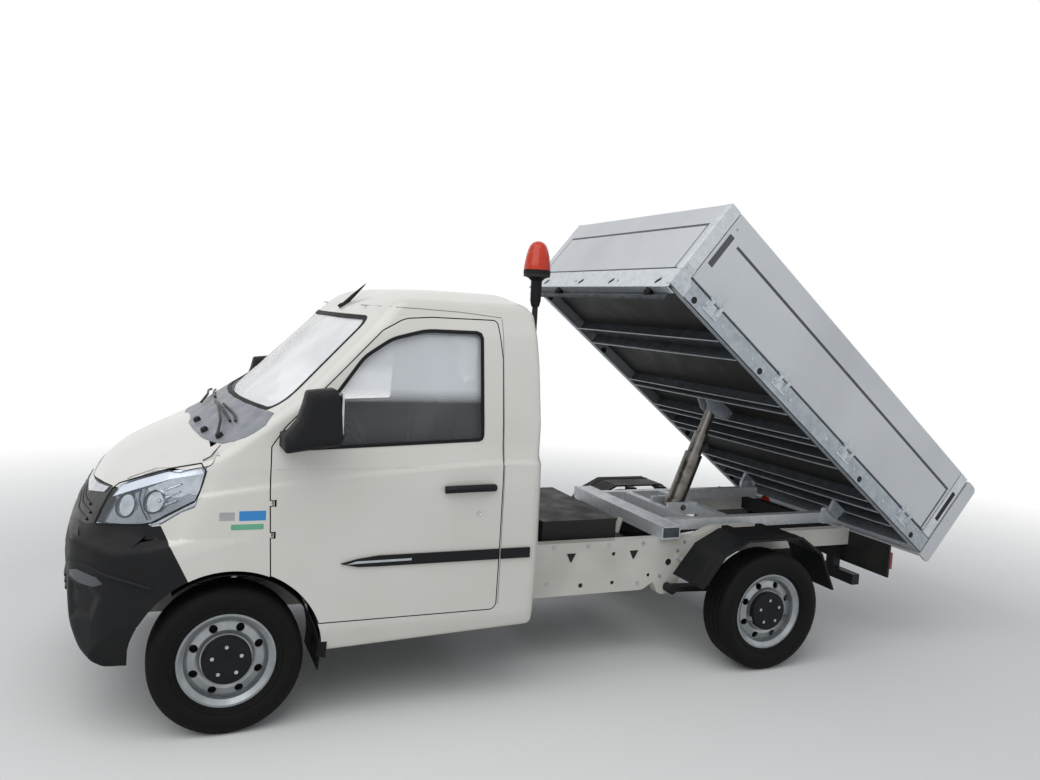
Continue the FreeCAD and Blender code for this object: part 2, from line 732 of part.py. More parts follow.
def bedOutline(corners):
    return [(bedFrontY + c[0], bedBottomZ + c[1]) + tuple(c[2:]) for c in corners]


inX = bedHalfWidth - bedRailWidth
sideRail = bedBox(inX, bedHalfWidth, 0, bedLength - 10, 0, bedRailHeight)
post = bedBox(inX, bedHalfWidth, 0, postLength, bedRailHeight, bedHeight - 5)
rearPost = bedBox(inX, bedHalfWidth, rearPostS, rearPostS + 60, bedRailHeight, bedHeight - 8)
frontRail = bedBox(-inX, inX, 0, 50, -60, bedRailHeight)
floorEnd = bedLength - 66.0
rearRail = bedBox(-inX, inX, floorEnd, bedLength - 10, 0, bedRailHeight)
crossDepth = 60.0
eyeRowS = 1096.0
crossRows = [
    # start and end along the bed
    (bedLength * 0.193, bedLength * 0.25),
    (eyeRowS - 156, eyeRowS - 111),
    (eyeRowS + 109, eyeRowS + 154),
    (bedLength * 0.626, bedLength * 0.651),
    (bedLength * 0.793, bedLength * 0.829),
    (bedLength * 0.84, bedLength * 0.89),
]
frameParts = [sideRail, mirrored(sideRail), post, mirrored(post), rearPost, mirrored(rearPost), frontRail, rearRail]
for s0, s1 in crossRows:
    frameParts.append(bedBox(-inX, inX, s0, s1, 0, crossDepth))
angle = math.radians(bedTilt)
eyeDy = eyeRest[0] - pivotY
eyeDz = eyeRest[1] - pivotZ
eyeLowY = pivotY + eyeDy * math.cos(angle) - eyeDz * math.sin(angle)
eyeLowZ = pivotZ + eyeDy * math.sin(angle) + eyeDz * math.cos(angle)
lug = bedBox(36, 48, eyeRowS - 111, eyeRowS + 109, -30, crossDepth)
pin = roundX(-48, 48, eyeLowY, eyeLowZ, eyePinRadius)
pivotLug = prismX([(pivotY - 53, bedBottomZ, 0), (pivotY - 38, pivotZ - 20, 20), (pivotY + 37, pivotZ - 20, 20),
                   (pivotY + 52, bedBottomZ, 0)], 406, 430)
pivotPin = roundX(381, 440, pivotY, pivotZ, pivotPinRadius)
frameParts += [lug, mirrored(lug), pin, pivotLug, mirrored(pivotLug), pivotPin, mirrored(pivotPin)]
hingeRows = [bedLength * share for share in (0.117, 0.369, 0.629, 0.884)]


def sidePin(s0, s1, radius):
    return Part.makeCylinder(radius, s1 - s0, vec(sideHingeX, bedFrontY + s0, bedBottomZ + sideHingeH), vec(0, 1, 0))


for s in hingeRows:
    for s0, s1 in ((s - 40, s - 20), (s + 20, s + 40)):
        cheek = bedBox(bedHalfWidth, sideHingeX + 6, s0, s1, crossDepth, sideHingeH).fuse(sidePin(s0, s1, 8.5))
        frameParts += [cheek, mirrored(cheek)]
    frameParts += [sidePin(s - 30, s + 30, 5), mirrored(sidePin(s - 30, s + 30, 5))]
earS = rearPostS + 50.0
tailEar = prismX(bedOutline([(earS, tailPinH - 20, 0), (earS, tailPinH + 16, 0), (tailPinS + 18, tailPinH + 18, 18),
                             (tailPinS + 18, tailPinH - 20, 18)]), bedHalfWidth - 34, bedHalfWidth - 26)
earHole = roundX(-900, 900, bedFrontY + tailPinS, bedBottomZ + tailPinH, 8 + pinClearance)
tailEar = tailEar.cut(earHole)
frameParts += [tailEar, mirrored(tailEar)]
pieces["bed_frame"] = tipped(fused(frameParts))
pieces["bed_floor"] = tipped(bedBox(-inX, inX, 50, floorEnd, crossDepth, bedRailHeight))
pieces["headboard"] = tipped(bedBox(-inX, inX, 0, 35, bedRailHeight, bedHeight - 8))
side = bedBox(bedHalfWidth - sideThick, bedHalfWidth, postLength + 6, rearPostS - 6, sideBottom,
              bedHeight - 8)
for s in hingeRows:
    leaf = bedBox(bedHalfWidth, bedHalfWidth + 6, s - 17, s + 17, sideHingeH, 160).fuse(sidePin(s - 17, s + 17, 9))
    side = side.fuse(leaf.cut(sidePin(s - 40, s + 40, 5 + pinClearance)))
side = side.removeSplitter()
pieces["dropside_left"] = tipped(side)
pieces["dropside_right"] = tipped(mirrored(side))
tailTop = bedHeight - 8.0
tailLow = -8.0
tail = bedBox(-bedHalfWidth + 22, bedHalfWidth - 22, tailStart, tailStart + tailThick, tailLow, tailTop)
endCap = prismX(bedOutline([(tailStart, tailLow, 0), (tailStart, tailTop, 12), (tailStart + tailDepth, tailTop, 30),
                            (tailStart + tailDepth, tailLow, 10)]), bedHalfWidth - 22, bedHalfWidth)
notch = bedBox(bedHalfWidth - 38, bedHalfWidth - 22, tailStart - 1, tailStart + tailThick + 1, tailTop - 53,
               tailTop + 15)
tail = tail.cut(notch).cut(mirrored(notch))
tailPin = roundX(bedHalfWidth - 38, bedHalfWidth - 20, bedFrontY + tailPinS, bedBottomZ + tailPinH, 8)
pieces["tailgate"] = tipped(fused([tail, endCap, mirrored(endCap), tailPin, mirrored(tailPin)]))

# ---- telescopic cylinder -------------------------------------------------------------------------------
lean = math.degrees(math.atan2(eyeRest[0] - trunnionY, eyeRest[1] - trunnionZ))
restLength = math.hypot(eyeRest[0] - trunnionY, eyeRest[1] - trunnionZ)
closedLength = math.hypot(eyeLowY - trunnionY, eyeLowZ - trunnionZ)


def leaning(shape, along):
    # built upright on the trunnion, slid along its axis and leant back
    moved = shape.copy()
    moved.translate(vec(0, trunnionY, trunnionZ + along))
    moved.rotate(vec(0, trunnionY, trunnionZ), vec(1, 0, 0), -lean)
    return moved


def tube(radius, bore, bottom, top, closed):
    shape = Part.makeCylinder(radius, top - bottom, vec(0, 0, bottom))
    if bore:
        shape = shape.cut(Part.makeCylinder(bore, top - bottom, vec(0, 0, bottom + closed)))
    return shape


barrel = tube(barrelRadius, stageRadii[0] + boreClearance, barrelBottom, barrelTop, 12)
trunnion = roundX(-102, 102, 0, 0, 18)
trunnion = trunnion.cut(Part.makeCylinder(stageRadii[0] + boreClearance, 60, vec(0, 0, -30)))
pieces["cylinder_barrel"] = leaning(fused([barrel, trunnion]), 0)
slid = 0.0
names = ["cylinder_stage_1", "cylinder_stage_2", "cylinder_rod"]
total = restLength - closedLength
scale = total / sum(stageTravel)
bottom = barrelBottom + 14
top = barrelTop + 6
for i in range(3):
    slid += stageTravel[i] * scale
    if i < 2:
        stage = tube(stageRadii[i], stageRadii[i + 1] + boreClearance, bottom, top, 10)
    else:
        head = roundX(-28, 28, 0, closedLength, 32)
        stage = fused([tube(stageRadii[i], 0, bottom, closedLength - 10, 0), head])
        stage = stage.cut(roundX(-60, 60, 0, closedLength, eyePinRadius + eyeClearance))
    pieces[names[i]] = leaning(stage, slid)
    bottom += 11
    top += 5

# ---- export ----------------------------------------------------------------------------------------


def rearMost():
    angle = math.radians(bedTilt)
    y = bedFrontY + tailStart + tailDepth - pivotY
    z = bedBottomZ + bedHeight - 8.0 - pivotZ
    return pivotY + y * math.cos(angle) + z * math.sin(angle)


if __name__ == "__main__":
    os.makedirs("parts", exist_ok=True)
    shift = vec(0, -0.5 * (cabFrontY + rearMost()), 0)
    for name, shape in pieces.items():
        moved = shape.copy()
        moved.translate(shift)
        moved.exportStep("parts/" + name + ".step")
        box3 = moved.BoundBox
        print(name, len(moved.Solids), moved.isValid(), round(moved.Volume / 1e6, 2), "litres",
              [round(v) for v in (box3.XMin, box3.XMax, box3.YMin, box3.YMax, box3.ZMin, box3.ZMax)])
    print("shift", shift)
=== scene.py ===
# Small tipper truck: finishes, body skin, fine parts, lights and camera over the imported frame.
import bmesh
import bpy
import json
import math
import numpy as np
from mathutils import Matrix, Vector
from mathutils.bvhtree import BVHTree
from mathutils.geometry import delaunay_2d_cdt


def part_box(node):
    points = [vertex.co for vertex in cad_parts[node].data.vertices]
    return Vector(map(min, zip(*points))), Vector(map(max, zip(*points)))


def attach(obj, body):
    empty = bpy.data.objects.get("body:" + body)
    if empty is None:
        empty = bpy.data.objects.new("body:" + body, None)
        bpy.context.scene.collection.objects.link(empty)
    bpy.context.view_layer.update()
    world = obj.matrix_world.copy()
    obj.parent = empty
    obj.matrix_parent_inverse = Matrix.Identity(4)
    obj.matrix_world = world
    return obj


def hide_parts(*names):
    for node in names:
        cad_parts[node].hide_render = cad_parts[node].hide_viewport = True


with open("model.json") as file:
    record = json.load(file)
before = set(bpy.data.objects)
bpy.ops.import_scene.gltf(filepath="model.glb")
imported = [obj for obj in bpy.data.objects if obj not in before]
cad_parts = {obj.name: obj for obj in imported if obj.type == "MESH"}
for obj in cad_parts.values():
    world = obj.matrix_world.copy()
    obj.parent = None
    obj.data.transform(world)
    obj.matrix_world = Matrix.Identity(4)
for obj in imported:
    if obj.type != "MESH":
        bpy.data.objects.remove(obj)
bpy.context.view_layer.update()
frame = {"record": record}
jointAt = {j["name"]: j.get("pos_m") for j in frame["record"]["behaviour"]["joints"]}
axleY = jointAt["steer_left"][1]
fromAxle = np.array([0, axleY, 0])  # rows of sizes below count y from the front axle


def makeCamera():
    spot = dict(x=4.433, y=-0.328, z=1.787, yaw=22.89, pitch=-5.18, roll=3.19, focal=896.1, width=1040.0)
    yaw, pitch, roll = (math.radians(spot[k]) for k in ("yaw", "pitch", "roll"))
    ahead = Vector((-math.cos(yaw) * math.cos(pitch), math.sin(yaw) * math.cos(pitch), math.sin(pitch)))
    right = ahead.cross(Vector((0, 0, 1))).normalized()
    up = right.cross(ahead)
    turned = right * math.cos(roll) + up * math.sin(roll), up * math.cos(roll) - right * math.sin(roll), -ahead
    data = bpy.data.cameras.new("view")
    data.sensor_width = 36.0
    data.lens = 36.0 * spot["focal"] / spot["width"]
    data.clip_end = 100.0
    camera = bpy.data.objects.new("view", data)
    bpy.context.scene.collection.objects.link(camera)
    place = Matrix.Translation((spot["x"], spot["y"] + axleY, spot["z"]))
    camera.matrix_world = place @ Matrix(turned).transposed().to_4x4()
    bpy.context.scene.camera = camera


makeCamera()
print("camera placed")


def toLinear(colour):
    parts = [int(colour[i:i + 2], 16) / 255 for i in (1, 3, 5)]
    return tuple(c / 12.92 if c <= 0.04045 else ((c + 0.055) / 1.055) ** 2.4 for c in parts) + (1.0,)


def feed(tree, node, values):
    for key, value in values.items():
        if isinstance(value, bpy.types.NodeSocket):
            tree.links.new(value, node.inputs[key])
        else:
            node.inputs[key].default_value = value


def addNode(tree, kind, values=None, **settings):
    node = tree.nodes.new(kind)
    for key, value in settings.items():
        setattr(node, key, value)
    feed(tree, node, values or {})
    return node


# columns: the two tones that drift into each other, how far apart they lie in mm, lowest and highest roughness,
# size of the grain in mm and its bump strength, metallic, coat, specular level, slot
finishes = {
    # acrylic topcoat sprayed on pressed steel: warm grey-white, wet gloss, faint orange peel
    "acrylicPaint": ("#d3d1ca", "#cdcbc3", 420, 0.26, 0.38, 9, 0.02, 0, 0.35, 0.5, "body_paint"),
    # moulded polypropylene: near black with a fine leather grain that spreads the highlights
    "grainedPolypropylene": ("#0c0d0f", "#141517", 160, 0.48, 0.66, 2.4, 0.15, 0, 0, 0.22, "black_plastic"),
    # gloss ABS of the radiator opening: black, reflects the sky
    "glossAbs": ("#090a0b", "#0e0f10", 120, 0.34, 0.46, 30, 0.01, 0, 0, 0.16, "black_plastic"),
    # grey seam sealer brushed into the roof and pillar joints
    "seamSealer": ("#6c6b67", "#7a7974", 60, 0.6, 0.75, 4, 0.05, 0, 0, 0.5, "body_paint"),
    # satin grey ABS of the wiper cowl
    "satinAbs": ("#85888e", "#767980", 90, 0.36, 0.5, 3, 0.08, 0, 0, 0.4, "black_plastic"),
    # extruded EPDM seal: matt black, slightly dusty
    "epdmRubber": ("#0b0b0c", "#151618", 60, 0.55, 0.75, 2, 0.06, 0, 0, 0.2, "black_plastic"),
    # vulcanised tyre rubber: dark grey, paler where road dust holds
    "tyreRubber": ("#0b0b0c", "#141413", 70, 0.62, 0.82, 1.6, 0.15, 0, 0, 0.15, "tyre_rubber"),
    # silver lacquer baked on a pressed steel wheel: soft metallic flake
    "silverLacquer": ("#9da1a4", "#8b9093", 60, 0.3, 0.44, 5, 0.03, 0.7, 0.15, 0.5, "wheel_silver"),
    # aluminium vapour-plated on the lamp reflectors: mirror bright
    "vapourPlate": ("#bcc2c9", "#a3aab2", 40, 0.05, 0.14, 20, 0.02, 1, 0, 0.5, "lamp_lens"),
    # satin chrome plating on the nose bar and lamp brow
    "satinChrome": ("#c3c8cd", "#adb3b9", 60, 0.16, 0.28, 20, 0.02, 1, 0, 0.5, "lamp_lens"),
    # silver lacquer under clear coat on the lamp bezel
    "bezelSilver": ("#878d94", "#71777f", 60, 0.18, 0.3, 12, 0.02, 0.75, 0.3, 0.5, "lamp_lens"),
    # frosted silver reflector band over the bowls
    "browSilver": ("#dde4ee", "#cfd7e2", 80, 0.22, 0.34, 6, 0.03, 0.2, 0.4, 0.5, "lamp_lens"),
    # dark grey moulded ABS: satin inserts of the bumper, their grey partly painted reflection; also painted shade in
    # the grooves and latch slots of the bed sides and headboard
    "greyAbs": ("#3f4247", "#494c52", 80, 0.3, 0.42, 3, 0.06, 0, 0.1, 0.5, "black_plastic"),
    # epoxy powder coat on the wiper arms: black, slightly pebbled
    "blackPowder": ("#101113", "#191a1c", 60, 0.34, 0.48, 1.6, 0.08, 0, 0, 0.25, "black_metal"),
    # hot-dip galvanised steel: pale grey with a spangle of crystals
    "galvanisedSteel": ("#d2d6d9", "#c6cace", 38, 0.34, 0.5, 14, 0.03, 0.35, 0, 0.5, "galvanised_steel"),
    # the same zinc a little darker and bluer on the under frame: painted shade under the bed
    "weatheredZinc": ("#adb4ba", "#9ca4aa", 38, 0.36, 0.52, 14, 0.03, 0.35, 0, 0.5, "galvanised_steel"),
    # the same zinc in the shelter of the floor, dull, its dark colour painted shade
    "stainedZinc": ("#4c5358", "#3d4347", 60, 0.42, 0.6, 14, 0.03, 0.2, 0, 0.35, "galvanised_steel"),
    # bright zinc plated pressings and fasteners
    "brightZinc": ("#bfc5ca", "#a9b0b6", 30, 0.24, 0.38, 4, 0.03, 0.7, 0, 0.5, "galvanised_steel"),
    # anodised aluminium plank: even cool grey with a satin sheen
    "anodisedAluminium": ("#c7cacc", "#bdc0c3", 500, 0.38, 0.5, 3, 0.04, 0.2, 0, 0.5, "bed_aluminium"),
    # black chassis enamel under road dust; also painted shade in the bed slots and rail holes and behind the wheel
    # discs
    "chassisEnamel": ("#141516", "#23221f", 110, 0.45, 0.7, 6, 0.06, 0, 0, 0.3, "black_metal"),
    # the body colour on the frame rails, thinner and less glossy, greyed by dust
    "framePaint": ("#cfcdc5", "#bcbab2", 260, 0.36, 0.52, 12, 0.04, 0, 0.1, 0.5, "frame_paint"),
    # ground steel tube filmed with oil
    "oiledSteel": ("#57544f", "#7b7873", 45, 0.2, 0.38, 8, 0.03, 0.9, 0, 0.5, "cylinder_metal"),
    # phenolic film-faced plywood under the bed: almost black brown
    "filmPlywood": ("#262626", "#312f2c", 140, 0.45, 0.62, 4, 0.05, 0, 0, 0.25, "bed_aluminium"),
    # moulded interior plastic: charcoal, matt
    "cabinPlastic": ("#141517", "#1c1d1f", 120, 0.55, 0.7, 2, 0.1, 0, 0, 0.25, "black_plastic"),
    # pressed trim card and headlining: light grey felt
    "trimFelt": ("#6f7073", "#636467", 80, 0.8, 0.92, 2.5, 0.1, 0, 0, 0.5, "black_plastic"),
    # woven polyester seat cover: charcoal, soft and without shine
    "wovenPolyester": ("#232428", "#2d2e33", 50, 0.85, 0.95, 1.4, 0.25, 0, 0, 0.2, "seat_cloth"),
    # cast acrylic lens, deep orange-red
    "orangeAcrylic": ("#b9240a", "#c73813", 30, 0.12, 0.2, 10, 0.02, 0, 0.2, 0.3, "amber_lens"),
    # cast acrylic lens of the tail lamps
    "redAcrylic": ("#9d1511", "#85100d", 30, 0.12, 0.2, 10, 0.02, 0, 0.4, 0.5, "tail_lens"),
    # plain vinyl film, cut to rectangles
    "blueVinyl": ("#1d7cc0", "#2785c8", 40, 0.3, 0.4, 20, 0.01, 0, 0.2, 0.5, "body_paint"),
    "greenVinyl": ("#57a07c", "#62aa86", 40, 0.3, 0.4, 20, 0.01, 0, 0.2, 0.5, "body_paint"),
    "greyVinyl": ("#9a9c9d", "#a6a8a8", 40, 0.3, 0.4, 20, 0.01, 0, 0.2, 0.5, "body_paint"),
}
spangle = dict(metals=("galvanisedSteel", "weatheredZinc"), dark=0.91, bright=1.05)
# shared by all finishes: where the tones stand on the noise, the noise's usual span, metres of bump per mm of grain
paint = dict(patchDetail=3.0, grainDetail=2.0, tones=(0.35, 0.7), span=(0.3, 0.7), bump=0.0004, coatRoughness=0.1)
# glazing: a pale film of painted sky reflection whose alpha lets the cabin show through; a band of painted sky
# reflection thickens it between two heights
# columns: colour, film, roughness, slot, band of painted sky reflection
glazing = {
    "toughenedGlass": ("#d4d8dc", 0.05, 0.03, "clear_glass", (1.36, 1.42, 0.52)),
    "laminatedGlass": ("#eceff2", 0.66, 0.04, "clear_glass", None),
    "polycarbonateLens": ("#c9d4dc", 0.10, 0.02, "lamp_lens", None),
}
pane = dict(scale=3.0, detail=3.0, glow=1.3, spread=(0.8, 1.2), coat=1.0, coatRoughness=0.02)
slotOf = {}


def newMaterial(name):
    material = bpy.data.materials.new(name)
    material.use_nodes = True
    tree = material.node_tree
    return material, tree, tree.nodes["Principled BSDF"], addNode(tree, "ShaderNodeTexCoord").outputs["Object"]


def addNoise(tree, place, scale, detail):
    return addNode(tree, "ShaderNodeTexNoise", {"Vector": place, "Scale": scale, "Detail": detail}).outputs["Fac"]


def addRange(tree, value, low, high):
    least, most = paint["span"]
    given = {"Value": value, "From Min": least, "From Max": most, "To Min": low, "To Max": high}
    return addNode(tree, "ShaderNodeMapRange", given).outputs[0]


def addTint(tree, share, *stops):
    ramp = addNode(tree, "ShaderNodeValToRGB", {"Fac": share})
    for element, (position, colour) in zip(ramp.color_ramp.elements, stops):
        element.position = position
        element.color = colour
    return ramp.outputs["Color"]


def makeFinish(name):
    base, second, patch, smooth, dull, size, depth, metallic, coat, shine, slotOf[name] = finishes[name]
    material, tree, shader, place = newMaterial(name)
    patches = addNoise(tree, place, 1000.0 / patch, paint["patchDetail"])
    colour = addTint(tree, patches, *zip(paint["tones"], (toLinear(base), toLinear(second))))
    grain = addNoise(tree, place, 1000.0 / size, paint["grainDetail"])
    if name in spangle["metals"]:
        cells = addNode(tree, "ShaderNodeTexVoronoi", {"Vector": place, "Scale": 1000.0 / size})
        shade = addNode(tree, "ShaderNodeMapRange", {"Value": cells.outputs["Color"], "To Min": spangle["dark"],
                                                     "To Max": spangle["bright"]})
        colour = addNode(tree, "ShaderNodeVectorMath", {0: colour, 1: shade.outputs[0]},
                         operation="MULTIPLY").outputs[0]
    bump = addNode(tree, "ShaderNodeBump", {"Height": grain, "Strength": depth, "Distance": size * paint["bump"]})
    feed(tree, shader, {"Base Color": colour, "Roughness": addRange(tree, patches, smooth, dull),
                        "Normal": bump.outputs[0], "Metallic": metallic, "Specular IOR Level": shine,
                        "Coat Weight": coat, "Coat Roughness": paint["coatRoughness"]})
    return material


def makeGlass(name):
    pale, thickness, rough, slotOf[name], upperSkyReflection = glazing[name]
    material, tree, shader, place = newMaterial(name)
    cloud = addNoise(tree, place, pane["scale"], pane["detail"])
    bright = tuple(min(1.0, c * pane["glow"]) for c in toLinear(pale)[:3]) + (1.0,)
    film = addRange(tree, cloud, *(thickness * share for share in pane["spread"]))
    # painted sky reflection: the film thickens between two heights on the upper glass
    if upperSkyReflection:
        height = addNode(tree, "ShaderNodeSeparateXYZ", {"Vector": place}).outputs["Z"]
        band = addNode(tree, "ShaderNodeMapRange", {"Value": height, "From Min": upperSkyReflection[0], "From Max": upperSkyReflection[1],
                                                    "To Max": upperSkyReflection[2]})
        film = addNode(tree, "ShaderNodeMath", {0: film, 1: band.outputs[0]}, operation="ADD").outputs[0]
    feed(tree, shader, {"Base Color": addTint(tree, cloud, (0.0, toLinear(pale)), (1.0, bright)), "Alpha": film,
                        "Roughness": rough, "Coat Weight": pane["coat"], "Coat Roughness": pane["coatRoughness"]})
    return material


finish = {name: makeFinish(name) for name in finishes}
finish.update({name: makeGlass(name) for name in glazing})
print("finishes made:", len(finish))


def addPiece(name, mesh, finishName, body="chassis", replaced=()):
    piece = bpy.data.objects.new(name, mesh)
    bpy.context.scene.collection.objects.link(piece)
    if finishName:
        mesh.materials.clear()
        mesh.materials.append(finish[finishName])
    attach(piece, body)
    if replaced:
        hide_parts(*replaced)
    return piece


# outlines of the cab, mm, each corner with its rounding radius
cabForm = dict(
    sideView=[(-380, 290, 0), (-455, 296, 60), (-545, 360, 90), (-607, 480, 120), (-634, 690, 60), (-606, 790, 20),
              (-280, 1560, 0), (300, 1621, 0), (700, 1842, 300), (1010, 1862, 600), (1235, 1856, 60),
              (1312, 1760, 40), (1330, 1534, 0), (1349, 666, 0), (1330, 352, 30), (-200, 285, 0)],
    frontView=[(0, 280), (770, 280, 20), (822, 420, 100), (834, 700, 0), (832, 1010, 0), (824, 1095, 30),
               (802, 1180, 30), (722, 1660, 200), (664, 1800, 60), (400, 1850, 400), (0, 1864)],
    plan=[(0, -640), (350, -622, 0), (620, -584, 150), (770, -470, 200), (824, -250, 250), (834, 0, 0),
          (834, 1300, 30), (790, 1349, 0), (0, 1349)],
    nosePlan=[(0, -605), (300, -590, 0), (620, -510, 200), (745, -360, 250), (815, -150, 300), (834, 80, 0),
              (834, 9000), (0, 9000)],
    noseBase=0.82, noseLean=0.45, noseStep=4.0, crown=0.1383, screenFoot=(0.112, 1.36), screenSlope=0.961,
    screenSweep=2.2, cowl=(-0.075, 1.23, 0.68), hood=[(-0.545, 0.93, 1.07), (-0.433, 1.05, 0.537),
                                                     (-0.284, 1.13, 0.478)],
    crease=[(-0.25, 0.965), (-0.122, 0.979), (0.14, 1.016), (0.366, 1.043), (0.768, 1.074), (1.114, 1.097),
            (1.35, 1.093)],
    creaseWidth=0.028, creaseDepth=0.0075, shelfFade=(0.06, 0.12), shelfSide=(0.70, 0.04),
    # where the hood's and the body's faces meet: width of the rounding
    blendHood=(0.03, 0.003), blendCowl=0.006, blendScreen=0.008, blendPlan=0.03, blendNose=0.02, blendTop=0.045,
    blendSide=0.03,
)


def unit(rows):
    return rows / np.linalg.norm(rows, axis=1)[:, None]


def roundedLine(corners, step=25.0):
    # the outline with its corners turned into arcs, in metres
    line = []
    for i, corner in enumerate(corners):
        here = np.array(corner[:2], float)
        radius = corner[2] if len(corner) > 2 else 0.0
        if radius <= 0:
            line.append(here)
            continue
        before = np.array(corners[i - 1][:2], float) - here
        after = np.array(corners[(i + 1) % len(corners)][:2], float) - here
        before /= np.linalg.norm(before)
        after /= np.linalg.norm(after)
        half = 0.5 * math.acos(float(np.clip(before @ after, -1, 1)))
        centre = here + (before + after) / np.linalg.norm(before + after) * radius / math.sin(half)
        start = here + before * radius / math.tan(half) - centre
        end = here + after * radius / math.tan(half) - centre
        sweep = math.pi - 2 * half
        turns = max(2, int(math.ceil(radius * sweep / step)))
        for k in range(turns + 1):
            mixed = start * math.sin(sweep * (1 - k / turns)) + end * math.sin(sweep * k / turns)
            line.append(centre + mixed / math.sin(sweep))
    return np.array(line) / 1000.0


def bothHalves(half):
    return half + [(-p[0],) + tuple(p[1:]) for p in reversed(half) if p[0] > 0]


def lineField(u, v, line):
    # signed distance to a closed outline, less than 0 inside, with its direction
    a = line
    b = np.roll(line, -1, axis=0)
    span = b - a
    length2 = np.maximum((span ** 2).sum(1), 1e-12)
    pu = u[:, None] - a[None, :, 0]
    pv = v[:, None] - a[None, :, 1]
    t = np.clip((pu * span[None, :, 0] + pv * span[None, :, 1]) / length2, 0, 1)
    du = pu - t * span[None, :, 0]
    dv = pv - t * span[None, :, 1]
    away = du ** 2 + dv ** 2
    nearest = away.argmin(1)
    rows = np.arange(len(u))
    distance = np.sqrt(away[rows, nearest])
    crosses = (a[None, :, 1] > v[:, None]) != (b[None, :, 1] > v[:, None])
    rise = np.where(np.abs(span[:, 1]) < 1e-12, 1e-12, span[:, 1])
    at = a[None, :, 0] + (v[:, None] - a[None, :, 1]) * (span[:, 0] / rise)[None, :]
    sign = np.where((crosses & (u[:, None] < at)).sum(1) % 2 == 1, -1.0, 1.0)
    # the edge's own outward side gives the direction, steady even on the line itself
    turn = np.sign((a[:, 0] * b[:, 1] - b[:, 0] * a[:, 1]).sum())
    edge = span[nearest] / np.sqrt(length2[nearest])[:, None]
    flat = np.stack([edge[:, 1], -edge[:, 0]], 1) * turn
    toward = np.stack([du[rows, nearest], dv[rows, nearest]], 1) / np.maximum(distance, 1e-9)[:, None]
    return distance * sign, np.where((distance > 2e-4)[:, None], toward * sign[:, None], flat)


def blendMax(a, b, width):
    # the larger of two fields, rounded where they meet
    (da, ga), (db, gb) = a, b
    h = np.maximum(width - np.abs(da - db), 0) / width
    share = np.where(da >= db, 1 - h / 2, h / 2)
    return np.maximum(da, db) + h * h * width / 4, ga * share[:, None] + gb * (1 - share)[:, None]


def blendMin(a, b, width):
    d, g = blendMax((-a[0], -a[1]), (-b[0], -b[1]), width)
    return -d, -g


formLines = {view: roundedLine(corners) for view, corners in (
    ("side", cabForm["sideView"]), ("front", bothHalves(cabForm["frontView"])),
    ("plan", bothHalves(cabForm["plan"])), ("nose", bothHalves(cabForm["nosePlan"])))}


def pressedIn(field, depth, p, axes):
    # the field with a relief taken off it, its direction corrected along the axes
    d, g = field
    step = 5e-4
    pressed = depth(p)
    g = g.copy()
    for axis in axes:
        moved = p.copy()
        moved[:, axis] += step
        g[:, axis] += (depth(moved) - pressed) / step
    return d + pressed, g


def flankShelf(p):
    # pressed-in shelf along the flank above the crease
    form = cabForm
    crease = np.interp(p[:, 1], [c[0] for c in form["crease"]], [c[1] for c in form["crease"]])
    t = np.clip((p[:, 2] - crease) / form["creaseWidth"], 0, 1)
    (start, length), (inner, width) = form["shelfFade"], form["shelfSide"]
    fade = 1 - np.clip((p[:, 2] - crease - start) / length, 0, 1)
    side = np.clip((np.abs(p[:, 0]) - inner) / width, 0, 1)
    return form["creaseDepth"] * t * t * (3 - 2 * t) * fade * side


def bodyForm(p):
    # field of the whole cab: less than 0 inside the panels, with its direction
    form = cabForm
    x, y, z = p[:, 0], p[:, 1], p[:, 2]
    zero = np.zeros_like(x)
    drop, dropX = form["crown"] * x * x, 2 * form["crown"] * x

    def plane(y0, z0, slope, drop=drop, dropX=dropX):
        size = math.hypot(1, slope)
        return (z - (z0 + slope * (y - y0)) + drop) / size, np.stack([dropX, zero - slope, zero + 1], 1) / size

    top = plane(*form["hood"][0])
    for row, width in zip(form["hood"][1:], form["blendHood"]):
        top = blendMax(top, plane(*row), width)
    sweep = form["screenSlope"] / (2 * form["screenSweep"])
    screen = plane(*form["screenFoot"], form["screenSlope"], sweep * x * x, 2 * sweep * x)
    top = blendMin(top, plane(*form["cowl"]), form["blendCowl"])
    top = blendMin(top, screen, form["blendScreen"])
    d, g = lineField(y, z, formLines["side"])
    side = (d, np.stack([zero, g[:, 0], g[:, 1]], 1))
    d, g = lineField(x, z, formLines["front"])
    front = (d, np.stack([g[:, 0], zero, g[:, 1]], 1))
    d, g = lineField(x, y, formLines["plan"])
    plan = (d, np.stack([g[:, 0], g[:, 1], zero], 1))
    up = z - form["noseBase"]
    slope = np.where(up > 0, form["noseLean"], form["noseStep"])
    d, g = lineField(x, y - slope * up, formLines["nose"])
    size = np.sqrt(g[:, 0] ** 2 + g[:, 1] ** 2 * (1 + slope ** 2))
    nose = (d / size, np.stack([g[:, 0], g[:, 1], -g[:, 1] * slope], 1) / size[:, None])
    body = blendMax(front, plan, form["blendPlan"])
    body = blendMax(body, nose, form["blendNose"])
    body = blendMax(body, top, form["blendTop"])
    return pressedIn(blendMax(body, side, form["blendSide"]), flankShelf, p, (1, 2))


cornerAim = (0.78, 0.62)  # towards the left front corner: x, minus y
# pocket pushed into the bumper, across the corner and up, its depth and the width of its slopes
pocket = dict(line=[(-0.094, 0.560), (-0.084, 0.625), (0.024, 0.632), (0.088, 0.600), (0.049, 0.520),
                    (-0.060, 0.500)], depth=0.020, slope=0.05)


def bumperPocket(p):
    across = np.abs(p[:, 0]) * cornerAim[1] + p[:, 1] * cornerAim[0]
    t = np.clip(0.5 - lineField(across, p[:, 2], np.array(pocket["line"]))[0] / pocket["slope"], 0, 1)
    return pocket["depth"] * t * t * (3 - 2 * t)


def bumperForm(p):
    return pressedIn(bodyForm(p), bumperPocket, p, range(3))


